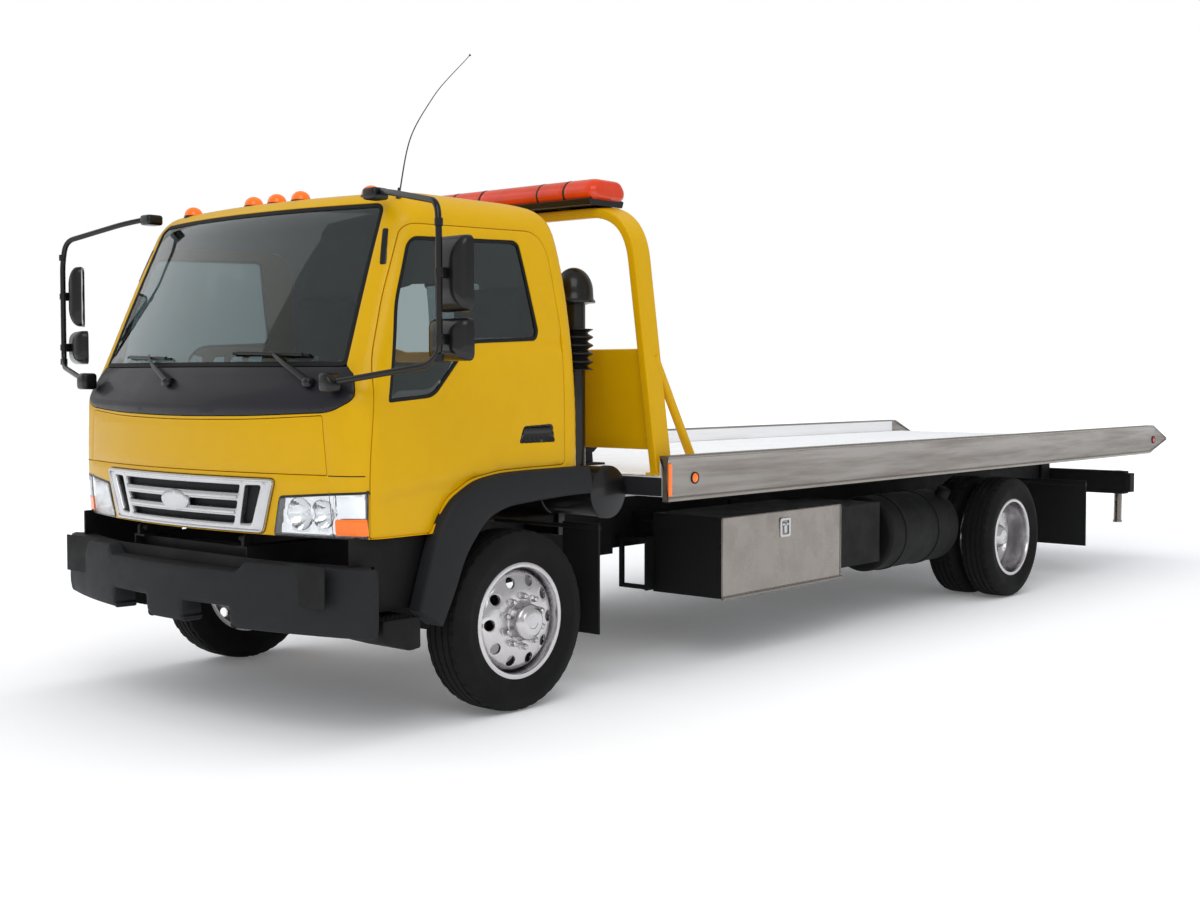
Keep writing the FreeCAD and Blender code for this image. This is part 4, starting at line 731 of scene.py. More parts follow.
@dataclass
class CabForm:
    """Smooth outer form of the cab, as places for (s, q).

    Its plan section is a bowed front, a round corner, a straight side, a round rear corner and
    a flat back. s runs along that section from the front middle, q up the front profile from
    the sill over the roof. The section's height, half width, front and rear follow smooth
    curves through the sections.

    Args:
        sections: height, half width, front face and rear face.
        front_bow: radius of the bowed front.
        corner: width and length of the front corner's rounding.
        rear_bend: radius of the rear corner.
        lengths: share of s that each part of the section has.
    """

    sections: tuple[tuple[float, float, float, float], ...] = ((830, 1062.5, -1005, 440),
        (1100, 1052, -1022, 446), (1360, 1042, -1018, 452), (1520, 1030, -944, 452), (1800, 1003, -826, 440),
        (2100, 965, -696, 402), (2200, 940, -648, 372), (2262, 878, -583, 312), (2290, 740, -440, 170),
        (2297, 380, -250, 20), (2298, 0, -110, -110))
    front_bow: float = BOW_RADIUS
    corner: tuple[float, float] = (105, 140)
    rear_bend: float = 70
    lengths: tuple[float, float, float, float, float] = (950, 190, 1130, 110, 970)
    knots: Array = field(init=False)

    def __post_init__(self) -> None:
        """Places each section along the front profile by the length of its chords."""
        z, _, front, _ = np.array(self.sections).T
        self.knots = np.concatenate([[0], np.cumsum(np.hypot(np.diff(z), np.diff(front)))])

    @property
    def end_s(self) -> float:
        """s at the middle of the back."""
        return sum(self.lengths)

    def s_at(self, x: float, z: float) -> float:
        """s of one place on the front."""
        return float(self.from_front([(x, z)])[0, 0])

    def height_to_q(self, z: Array | float) -> Array:
        """q for a height, read from a fine table of the height curve."""
        table = np.linspace(0, self.knots[-2], 4000)
        return np.interp(z, smooth_curve(self.knots, np.array(self.sections)[:, 0], table), table)

    def section_at(self, q: Array) -> tuple[Array, Array, Array, Array]:
        """Height, half width, front and rear for each q."""
        columns = np.array(self.sections).T
        z, half, front, rear = (smooth_curve(self.knots, c, q) for c in columns)
        return z, half, front, rear

    def corner_at(self, half: Array, front: Array) -> tuple[Array, Array, Array, Array]:
        """Rounding of the front corner: its width, length, inner x and inner y."""
        share = np.clip(half / 740, 0, 1)
        width, length = self.corner[0] * share, self.corner[1] * share
        inner_x = half - width
        return width, length, inner_x, front + inner_x ** 2 / (2 * self.front_bow)

    def place(self, flat: Array) -> Array:
        """Places on the form itself, (n, 3), for (n, 2) s and q."""
        s, q = np.abs(flat[:, 0]), np.clip(flat[:, 1], 0, self.knots[-1])
        z, half, front, rear = self.section_at(q)
        width, length, inner_x, inner_y = self.corner_at(half, front)
        bend = self.rear_bend * np.clip(half / 740, 0, 1)
        bounds = np.cumsum((0,) + self.lengths)
        a, b, c, d, e = (np.clip((s - bounds[k]) / self.lengths[k], 0, 1) for k in range(5))
        x1, y1 = a * inner_x, front + (a * inner_x) ** 2 / (2 * self.front_bow)
        # quadratic curve whose first run goes on along the bow and whose last run is the side
        x2 = (1 - b) ** 2 * inner_x + (2 * b * (1 - b) + b * b) * half
        y2 = (1 - b) ** 2 * inner_y + 2 * b * (1 - b) * (inner_y + width
            * inner_x / self.front_bow) + b * b * (inner_y + length)
        y3 = inner_y + length + c * (rear - bend - inner_y - length)
        x4 = half - bend + bend * np.cos(d * math.pi / 2)
        y4 = rear - bend + bend * np.sin(d * math.pi / 2)
        x5 = (1 - e) * (half - bend)
        part = np.searchsorted(bounds[1:-1], s, side="right")
        x = np.choose(part, [x1, x2, half, x4, x5])
        y = np.choose(part, [y1, y2, y3, y4, rear])
        return np.stack([np.where(flat[:, 0] < 0, -x, x), y, z], -1)

    def __call__(self, flat: Array, height: Array | float) -> Array:
        """Places at a height over the form, along the normal: the cross product of the two differences."""
        eps = 1
        inner = np.column_stack([flat[:, 0], np.clip(flat[:, 1], 2 * eps, self.knots[-1] - 2 * eps)])
        du = self.place(inner + (eps, 0)) - self.place(inner - (eps, 0))
        dv = self.place(inner + (0, eps)) - self.place(inner - (0, eps))
        normal = np.cross(du, dv)
        size = np.linalg.norm(normal, axis=1)
        normal = np.where(size[:, None] > 1e-6, normal / np.maximum(size, 1e-6)[:, None], (0, 0, 1))
        return self.place(flat) + normal * np.reshape(height, (-1, 1))

    def from_side(self, outline: Corners) -> Array:
        """Turns (y, z) places on the driver's side into (s, q)."""
        y, z = np.asarray(outline, float).T
        q = self.height_to_q(z)
        _, half, front, rear = self.section_at(q)
        width, length, inner_x, inner_y = self.corner_at(half, front)
        start = inner_y + length
        along = (y - start) / (rear - self.rear_bend - start)
        # y on the corner is A t^2 + B t + inner_y
        rise = width * inner_x / self.front_bow
        a, b = length - 2 * rise, 2 * rise
        t = (-b + np.sqrt(np.maximum(b * b + 4 * a * (y - inner_y), 0))) / (2 * a)
        s = np.where(y > start, self.lengths[0] + self.lengths[1] + along * self.lengths[2],
            self.lengths[0] + np.clip(t, 0, 1) * self.lengths[1])
        return np.stack([s, q], -1)

    def from_front(self, outline: Corners) -> Array:
        """Turns (x, z) places on the front into (s, q)."""
        x, z = np.asarray(outline, float).T
        q = self.height_to_q(z)
        _, half, front, _ = self.section_at(q)
        width, _, inner_x, _ = self.corner_at(half, front)
        t = 1 - np.sqrt(np.clip((half - np.abs(x)) / width, 0, 1))
        s = np.where(np.abs(x) < inner_x, np.abs(x) / inner_x * self.lengths[0],
            self.lengths[0] + t * self.lengths[1])
        return np.stack([np.sign(x) * s, q], -1)

    def from_back(self, outline: Corners) -> Array:
        """Turns (x, z) places on the back wall into (s, q), on the driver's half."""
        x, z = np.asarray(outline, float).T
        q = self.height_to_q(z)
        _, half, _, _ = self.section_at(q)
        return np.stack([self.end_s - self.lengths[4] * x / (half - self.rear_bend), q], -1)


# lower edge and corners of the band under the screen, which the shell's opening follows too
COWL_EDGE: Run = ((-1004, 1395, 40), (-905, 1340, 80), (-500, 1322, 120), (0, 1314, 200), (500, 1322, 120),
    (905, 1340, 80), (1004, 1395, 40), (950, 1512, 14))
# radius and (x, z) of the two lamp bowls
LAMP_BOWLS = ((66, (735, 923)), (58, (848, 926)))
# depth of a lamp bowl and thickness of its shell
BOWL_DEPTH, BOWL_SHELL = 46, 2


@dataclass
class CabOutlines:
    """Outlines of the cab's panels: side ones as (y, z), front and back ones as (x, z).

    Args:
        wrap_end: how far back the front panels reach round the corner.
    """

    wrap_end: float = -812
    door: Run = ((-806, 830, 8), (-495, 830, 20), (-401, 972, 40), (-251, 1050, 40), (-96, 1074, 40),
        (77, 1079, 40), (330, 1082, 30), (352, 1660, 90), (300, 2050, 60), (262, 2120, 40), (200, 2150, 40),
        (-505, 2132, 30), (-545, 2105, 25), (-572, 2043, 40), (-664, 1822, 60), (-762, 1541, 90),
        (-806, 1100, 120))
    window: Run = ((-703, 1380, 16), (-453, 1400, 45), (-225, 1632, 45), (180, 1652, 26), (200, 1690, 30),
        (120, 2085, 35), (90, 2100, 25), (-500, 2077, 30), (-535, 2045, 30), (-630, 1790, 60))
    screen: Run = ((-905, 1530, 22), (905, 1530, 22), (830, 2195, 40), (790, 2225, 30), (-790, 2225, 30),
        (-830, 2195, 40))
    cowl: Run = (*COWL_EDGE, (912, 1530, 8), (-912, 1530, 8), (-950, 1512, 14))
    opening: Run = (*COWL_EDGE, (906, 1532, 8), (830, 2195, 40), (790, 2225, 30), (-790, 2225, 30),
        (-830, 2195, 40), (-906, 1532, 8), (-950, 1512, 14))
    arch: tuple[tuple[float, float], ...] = ((-462, 830), (-380, 935), (-240, 958), (300, 960))
    hood: Run = ((-890, 1085, 12), (890, 1085, 12), (865, 1330, 12), (500, 1310, 120), (0, 1302, 200),
        (-500, 1310, 120), (-865, 1330, 12))
    grille: Run = ((-552, 833, 26), (552, 833, 26), (634, 1068, 34), (-634, 1068, 34))
    lamp: Run = ((604, 832, 14), (1072, 832, 4), (1070, 1022, 4), (905, 1013, 60), (648, 994, 16))
    rear_glass: Run = ((-420, 1560, 50), (420, 1560, 50), (420, 1960, 50), (-420, 1960, 50))


def rounded_run(run: Corners) -> Array:
    """Closed outline from (a, b, bend) corners, each corner rounded by its own bend."""
    pts = np.asarray(run, float)
    return rounded(pts[:, :2], pts[:, 2])


class Side(Enum):
    """Side of the vehicle; the value is the sign of x."""

    LEFT = 1
    RIGHT = -1

    @property
    def label(self) -> str:
        """Name as the CAD nodes have it."""
        return self.name.lower()

    def of(self, surface: Surface) -> Surface:
        """A surface made for the left, or its mirror image."""
        return surface if self is Side.LEFT else surface.mirrored()


@dataclass
class Cab:
    """Cab-over cab with its panels, glass, lamps and inside.

    Args:
        form: outer form.
        lines: panel outlines.
        gap: half of the gap between panels.
        skin: thickness of the shell as it shows in the openings.
        glass_sink: how far the glass lies under the form.
    """

    form: CabForm = field(default_factory=CabForm)
    lines: CabOutlines = field(default_factory=CabOutlines)
    gap: float = 2.5
    skin: float = 26
    glass_sink: float = 4

    def wrap_s(self) -> float:
        """s where the panels that come round the front corner end, at lamp height."""
        return float(self.form.from_side([(self.lines.wrap_end, 950)])[0, 0])

    def front_line(self, run: Corners) -> Array:
        """(s, q) outline of a front panel, kept in front of the door."""
        flat = self.form.from_front(divided(rounded_run(run), 30))
        z = np.interp(flat[:, 1], self.form.knots[:-2], np.array(self.form.sections)[:-2, 0])
        limit = self.form.from_side(np.column_stack([np.full(len(z), self.lines.wrap_end), z]))[:, 0]
        flat[:, 0] = np.clip(flat[:, 0], -limit, limit)
        return anticlockwise(flat)

    def side_line(self, run: Corners) -> Array:
        """(s, q) outline of a panel on the driver's side."""
        return anticlockwise(self.form.from_side(divided(rounded_run(run), 30)))

    def build(self) -> None:
        """Makes every piece of the cab in order."""
        self.shell()
        self.front()
        for side in Side:
            self.door(side)
        self.lamps()
        self.inside()

    def shell(self) -> None:
        """Body shell in one skin with its openings, and the grey lining inside it."""
        form, lines = self.form, self.lines
        top = form.knots[-1]
        grown = 3
        arch = divided(np.array(lines.arch), 30)
        arch = form.from_side(arch[:int(np.argmax(arch[:, 0])) + 1])
        back = parallel(anticlockwise(form.from_back(divided(rounded_run(lines.rear_glass), 30))), -grown)
        edge = [_half_run(parallel(self.front_line(run), -grown), 0, 1)
            for run in (lines.opening, lines.hood, lines.grille)]
        end = form.end_s
        outline = np.vstack([[(0, 0)], arch, [(end, arch[-1, 1])], _half_run(back, end, -1),
            [(end, top), (0, top)], *[run[::-1] for run in edge]])

        def seam(flat: Array) -> Array:
            """True on the middle plane and at the roof's middle."""
            return (flat[:, 0] < 0.01) | (flat[:, 0] > end - 0.01) | (flat[:, 1] > top - 0.01)

        holes = [self.front_line(lines.lamp), self.side_line(lines.door)]
        shell = trimmed(form, outline, holes, spacing=30, depth=self.skin, roll=grown, seam=seam).both()
        emit("cab_skin", shell, "cab", "cab_paint", ["cab_shell"], sharp=40)
        lining = trimmed(form, outline, holes, spacing=60, outer=-self.skin - 6, depth=5, roll=1,
            seam=seam).both()
        emit("cab_lining", lining, "cab", "interior", sharp=40)
        self.floor()

    def floor(self) -> None:
        """Floor with its footwells and the tunnel, as heights over a grid: eased steps in y and x."""
        u, v = np.meshgrid(np.linspace(-1, 1, 90), np.linspace(0, 1, 60), indexing="ij")
        x = u * 1000
        front = -1010 + 60 + bow(x) + 60 * np.abs(u) ** 8
        y = front + v * (392 - front)
        step = smooth_step(-560, -520, y)
        tunnel = 1 - smooth_step(300, 345, np.abs(x))
        z = 900 + step * (120 + 230 * tunnel)
        top = np.stack([x, y, z], -1)
        under = top - (0, 0, 30)
        sheet = joined([grid(top), grid(under).flipped()])
        emit("floor_pan", sheet, "cab", "dark_plastic", sharp=60)

    def front(self) -> None:
        """Hood panel, cowl band, screen with its seal, and the grille."""
        form, lines = self.form, self.lines
        hood = parallel(self.front_line(lines.hood), self.gap)
        emit("hood_panel", trimmed(form, hood, depth=20, roll=4), "cab", "cab_paint", ["front_panel"], sharp=40)
        cowl = parallel(self.front_line(lines.cowl), self.gap)
        emit("cowl_cover", trimmed(form, cowl, depth=20, roll=5), "cab", "slate_band", ["cowl_band"], sharp=40)
        screen = self.front_line(lines.screen)
        pane = parallel(screen, 3)
        emit("screen_glass", trimmed(form, pane, spacing=40, outer=-self.glass_sink, depth=6, roll=0.8), "cab",
            "glass", ["windscreen"])
        seal = trimmed(form, parallel(screen, 0.5), [parallel(screen, 22)], outer=2.5 - self.glass_sink,
            depth=14, roll=2)
        emit("screen_seal", seal, "cab", "flap_rubber")
        rear = anticlockwise(form.from_back(divided(rounded_run(lines.rear_glass), 30)))
        emit("back_glass", trimmed(form, parallel(rear, 3), spacing=60, outer=-self.glass_sink, depth=6,
            roll=0.8), "cab", "glass", ["rear_window"])
        emit("back_seal", trimmed(form, parallel(rear, -4), [parallel(rear, 16)], outer=1, depth=14, roll=2),
            "cab", "flap_rubber")
        # dark gap between the lamp surround and the hood, as far as the door
        q = float(form.height_to_q(1085))
        start = form.s_at(894, 1085)
        slit = np.array([(start, q - 2.2), (self.wrap_s(), q - 2.2), (self.wrap_s(), q + 2.2),
            (start, q + 2.2)])
        emit("surround_gap", trimmed(form, slit, spacing=20, outer=0.5, depth=1.5, roll=0.3).both(), "cab",
            "flap_rubber")
        self.grille()

    def grille(self) -> None:
        """Plated grille: a frame with three long slots and a slanted one at each end, over a dark backing."""
        form, lines = self.form, self.lines
        frame_line = parallel(self.front_line(lines.grille), self.gap)
        slots = []
        for low, high, half in ((1000, 1034, 425), (934, 966, 405), (872, 902, 385)):
            slots.append([(-half, low, 9), (half, low, 9), (half + 10, high, 9), (-half - 10, high, 9)])
        end = [(420, 872, 12), (490, 876, 12), (556, 1036, 14), (466, 1034, 12)]
        slots += [end, [(-x, z, b) for x, z, b in end]]
        cuts = [anticlockwise(form.from_front(divided(rounded_run(run), 24))) for run in slots]
        plate = trimmed(form, frame_line, cuts, spacing=20, outer=8, depth=26, roll=5)
        # each bar of the real grille stands a little proud between the slots
        bars = []
        for z, half in ((983, 415), (918, 395)):
            x = np.linspace(-half, half, 60)
            spine = form(form.from_front(np.stack([x, np.full(60, z)], -1)), 8)
            bars.append(sweep(spine, oblong(10, 16, 4)))
        rim = form(divided(parallel(frame_line, 8), 20), 9)
        bars.append(sweep(rim, oblong(12, 9, 4), up=(0, 1, 0), closed=True))
        boss = form.from_front(circle(1, 48) * (104, 46) + (0, 952))
        bars.append(trimmed(form, anticlockwise(boss), spacing=16, outer=15, depth=14, roll=6))
        emit("grille_frame", joined([plate, *bars]), "cab", "bright_trim", ["grille"], sharp=40)
        back = parallel(frame_line, 10)
        emit("grille_mesh", trimmed(form, back, spacing=40, outer=-24, depth=3, roll=1), "cab", "dark_plastic")

    def door(self, side: Side) -> None:
        """One door: pressed panel with its swage, handle bowl, window frame seal and glass."""
        form, lines = self.form, self.lines
        line = parallel(self.side_line(lines.door), self.gap)
        window = self.side_line(lines.window)
        bowl = self.side_line([(40, 1190, 14), (268, 1190, 14), (255, 1272, 18), (70, 1265, 18)])

        def pressed(flat: Array, height: float) -> Array:
            """The form with the door's swage: the skin steps in under a curve from the window's notch."""
            place = form.place(flat)
            y, z = place[:, 1], place[:, 2]
            # the curve falls from behind the window to the notch, the skin inside it lies 6 mm deeper
            crease = smooth_curve([-700, -453, -330, -225, 0, 200], [1375, 1385, 1470, 1590, 1640, 1648],
                y) - 42
            inside = smooth_step(-14, 14, z - crease) * smooth_step(-470, -380, y)
            # the lower edge line climbs towards the back, and the skin under it steps in
            foot = smooth_curve([-830, -266, 398], [984, 1051, 1087], y)
            under = smooth_step(7, -7, z - foot)
            return form(flat, height - 6 * inside * (1 - smooth_step(1660, 1700, z)) - 10 * under)

        body = f"door_{side.label}"
        panel = trimmed(pressed, line, [window, bowl], spacing=22, depth=24, roll=4)
        emit(f"{body}_skin", side.of(panel), body, "cab_paint", [body], sharp=40)
        pane = parallel(window, 4)
        emit(f"{body}_pane", side.of(trimmed(form, pane, spacing=50, outer=-9, depth=5, roll=0.8)), body,
            "glass", [f"door_glass_{side.label}"])
        seal = trimmed(form, parallel(window, -1), [parallel(window, 17)], outer=-4, depth=12, roll=2)
        emit(f"{body}_seal", side.of(seal), body, "flap_rubber")
        self.handle(side, bowl)
        self.vent(side)

    def handle(self, side: Side, bowl: Array) -> None:
        """Recessed handle: a black dished bowl with a pull bar across its upper half."""
        form = self.form

        def dished(flat: Array, height: float) -> Array:
            """The form sunk by 15 mm, rising to the skin over the outer 22 mm of the bowl."""
            edge = np.sqrt(((flat[:, None] - bowl[None]) ** 2).sum(-1)).min(1)
            return form(flat, height - 15 * smooth_step(0, 22, edge))

        body = f"door_{side.label}"
        cup = trimmed(dished, parallel(bowl, 0.5), spacing=9, outer=1, depth=4, roll=1)
        spine = form(form.from_side(np.stack([np.linspace(66, 246, 30), np.full(30, 1243)], -1)), -5)
        pull = sweep(spine, oblong(9, 28, 4))
        emit(f"{body}_handle", side.of(joined([cup, pull])), body, "gloss_black")

    def vent(self, side: Side) -> None:
        """Narrow black air slot in the windscreen pillar."""
        form = self.form
        run = [(904, 1952, 9), (930, 1952, 9), (886, 2108, 9), (860, 2108, 9)]
        line = anticlockwise(form.from_front(divided(rounded_run(run), 20)))
        slot = trimmed(form, line, spacing=10, outer=1.6, depth=3, roll=1.2)
        emit(f"pillar_vent_{side.label}", side.of(slot), "cab", "gloss_black")

    def lamps(self) -> None:
        """Headlamp and corner lamp on each side: bowls in a plated housing behind clear covers."""
        form, lines = self.form, self.lines
        line = parallel(self.front_line(lines.lamp), 2)
        parts: dict[str, list[Surface]] = {"lamp_bowls": [], "lamp_covers": []}
        split = form.s_at(902, 930)
        for low, high in ((-1e9, split - 3), (split + 3, 1e9)):
            part = np.column_stack([np.clip(line[:, 0], low, high), line[:, 1]])
            parts["lamp_covers"].append(trimmed(form, apart(part), spacing=26, outer=3, depth=4, roll=1.5))
        parts["lamp_bezels"] = [trimmed(form, parallel(line, -5), [parallel(line, 6)], spacing=20, outer=1,
            depth=26, roll=1)]
        cuts = [anticlockwise(form.from_front(circle(r, 40, c))) for r, c in LAMP_BOWLS]
        housing = trimmed(form, parallel(line, 4), cuts, spacing=16, outer=-16, depth=12, roll=2)
        parts["lamp_bowls"].append(housing)
        for radius, centre in LAMP_BOWLS:
            at = form(form.from_front([centre]), -16)[0]
            # parabola of the bowl: depth falls with the square of the radius
            rad = np.linspace(0, radius, 14)
            deep = -BOWL_DEPTH * (1 - (rad / radius) ** 2)
            outside = [(x - BOWL_SHELL, r) for x, r in zip(deep[1:], rad[1:])]
            inside = [(x, r - 1) for x, r in zip(deep[:1:-1], rad[:1:-1])]
            bowl = lathe([(-BOWL_DEPTH - BOWL_SHELL, 0), *outside, *inside, (-BOWL_DEPTH, 0)], 40)
            bulb = lathe([(-40, 0), (-40, 9), (-18, 9), (-10, 5), (-8, 0)], 20)
            both = joined([bowl, bulb]).turned("Z", -90).turned("Z", math.degrees(centre[0] / form.front_bow))
            parts["lamp_bowls"].append(both.moved(*at))
        lens = [(915, 843, 10), (1062, 843, 4), (1062, 912, 4), (916, 908, 10)]
        corner = form.from_front(divided(rounded_run(lens), 20))
        limit = self.wrap_s() - 8
        corner = np.column_stack([np.minimum(corner[:, 0], limit), corner[:, 1]])
        corner = anticlockwise(apart(corner))
        parts["turn_lenses"] = [trimmed(form, corner, spacing=14, outer=4.6, depth=4, roll=1.5)]
        looks = {"lamp_bowls": "reflector", "lamp_covers": "clear_lens", "turn_lenses": "amber_lens",
            "lamp_bezels": "gloss_black"}
        for name, look in looks.items():
            nodes = ["headlamps"] if name == "lamp_covers" else []
            emit(name, joined(parts[name]).both(), "cab", look, nodes, sharp=40)

    def inside(self) -> None:
        """Dashboard, steering wheel and seats."""
        x = np.linspace(-930, 930, 60)
        profile = rounded([(-880, 1210), (-650, 1180), (-590, 1400), (-640, 1462), (-832, 1480)],
            (10, 30, 40, 40, 20), steps=6)
        ease = 1 - 0.03 * smooth_step(820, 930, np.abs(x))[:, None]
        back = bow(x)[:, None]
        y = profile[None, :, 0] * ease + back * smooth_step(-650, -860, profile[None, :, 0]) * 0.6
        rings = np.stack(np.broadcast_arrays(x[:, None], y, profile[:, 1]), -1)
        dash = capped(rings)
        hood = block((380, 210, 70), (480, -700, 1470), 26, 60)
        emit("dash_moulding", joined([dash, hood]), "cab", "interior", ["dashboard"], sharp=45)
        self.wheel()
        for k, centre in enumerate((605, -605)):
            cushion = SeatPad(f"seat_cushion_{k}", (505, 472, 150), (centre, -32, 1252), 0)
            cushion.build(["seats"] if k == 0 else [])
            SeatPad(f"seat_back_{k}", (500, 96, 590), (centre, 278, 1632), -3.6).build([])
            base = block((480, 440, 155), (centre, -32, 1099), 14)
            emit(f"seat_base_{k}", base, "cab", "dark_plastic")

    def wheel(self) -> None:
        """Steering wheel: a round rim swept on a circle, hub, three spokes and the column."""
        turn = full_turn(96)
        ring = np.stack([200 * np.cos(turn), 200 * np.sin(turn), np.zeros(96)], -1)
        parts = [sweep(ring, circle(14, 14), closed=True)]
        parts.append(lathe([(-34, 0), (-34, 60), (-6, 74), (6, 66), (10, 40), (11, 0)], 40, axis="Z"))
        for angle in (0, 180, 270):
            spoke = np.stack([np.linspace(50, 196, 10), np.zeros(10), np.linspace(-10, 0, 10)], -1)
            parts.append(sweep(spoke, oblong(34, 12, 5)).turned("Z", angle))
        parts.append(lathe([(-330, 0), (-330, 30), (-60, 36), (-30, 30), (-30, 0)], 24, axis="Z"))
        wheel = joined(parts).turned("X", -33.5).moved(480, -455, 1450)
        emit("steering_rim", wheel, "cab", "interior", ["steering_wheel"], sharp=40)


def _half_run(hole: Array, edge: float, side: int) -> Array:
    """Run of a closed (s, q) outline on one side of a line of constant s, from low to high.

    Args:
        hole: the closed outline, which crosses the line twice.
        edge: s of the line.
        side: 1 for the side of greater s, -1 for the other.
    Returns:
        The open run with both its ends on the line.
    """
    near = (hole[:, 0] - edge) * side > 1
    first = int(np.flatnonzero(near & ~np.roll(near, 1))[0])
    run = np.roll(hole, -first, axis=0)[:int(near.sum())]
    run = np.vstack([[(edge, run[0, 1])], run, [(edge, run[-1, 1])]])
    return run if run[0, 1] < run[-1, 1] else run[::-1]


@dataclass
class SeatPad:
    """Padded seat part in woven cloth, blown up like the real foam under its cover.

    Args:
        name: piece name.
        size: full width, depth and height.
        centre: its middle.
        lean: turn about X in degrees.
        voxel: remesh size, coarse because the pads are large and seen through glass.
        cap: how far a point may move.
        frames: length of the cloth run.
    """

    name: str
    size: tuple[float, float, float]
    centre: tuple[float, float, float]
    lean: float
    voxel: float = 12
    cap: float = 16
    frames: int = 20

    def build(self, nodes: Sequence[str]) -> None:
        start = tuple(s - 14 for s in self.size)
        shape = block(start, (0, 0, 0), min(min(start) * 0.42, 46)).turned("X", self.lean).moved(*self.centre)
        piece = emit(self.name, shape, "cab", "seat_cloth", nodes, sharp=70)
        self.inflate(piece)

    def inflate(self, piece: bpy.types.Object) -> None:
        """Cloth run with inner pressure: voxel remesh, some frames, movement capped, one subdivision."""
        for other in bpy.context.view_layer.objects:
            other.select_set(False)
        bpy.context.view_layer.objects.active = piece
        piece.data.remesh_voxel_size = self.voxel * MM
        bpy.ops.object.voxel_remesh()
        count = len(piece.data.vertices)
        before = np.empty(count * 3)
        piece.data.vertices.foreach_get("co", before)
        cloth = piece.modifiers.new("Filling", "CLOTH")
        cloth.settings.use_pressure = True
        cloth.settings.uniform_pressure_force = 4
        cloth.settings.effector_weights.gravity = 0
        scene = bpy.context.scene
        for frame_number in range(1, self.frames + 1):
            scene.frame_set(frame_number)
        shape = piece.evaluated_get(bpy.context.evaluated_depsgraph_get()).data
        after = np.empty(count * 3)
        shape.vertices.foreach_get("co", after)
        piece.modifiers.clear()
        scene.frame_set(1)
        move = (after - before).reshape(-1, 3)
        length = np.linalg.norm(move, axis=1)[:, None]
        move *= np.minimum(1, self.cap * MM / np.maximum(length, 1e-9))
        piece.data.vertices.foreach_set("co", (before.reshape(-1, 3) + move).ravel())
        piece.data.polygons.foreach_set("use_smooth", np.ones(len(piece.data.polygons), bool))
        piece.data.update()
        rounding = piece.modifiers.new("Rounding", "SUBSURF")
        rounding.levels = rounding.render_levels = 1


def side_on(centre: Point, ring: Array) -> Array:
    """Places of a flat (x, z) ring that stands upright, square to the vehicle, about a centre."""
    x, y, z = centre
    return np.column_stack([x + ring[:, 0], np.full(len(ring), y), z + ring[:, 1]])


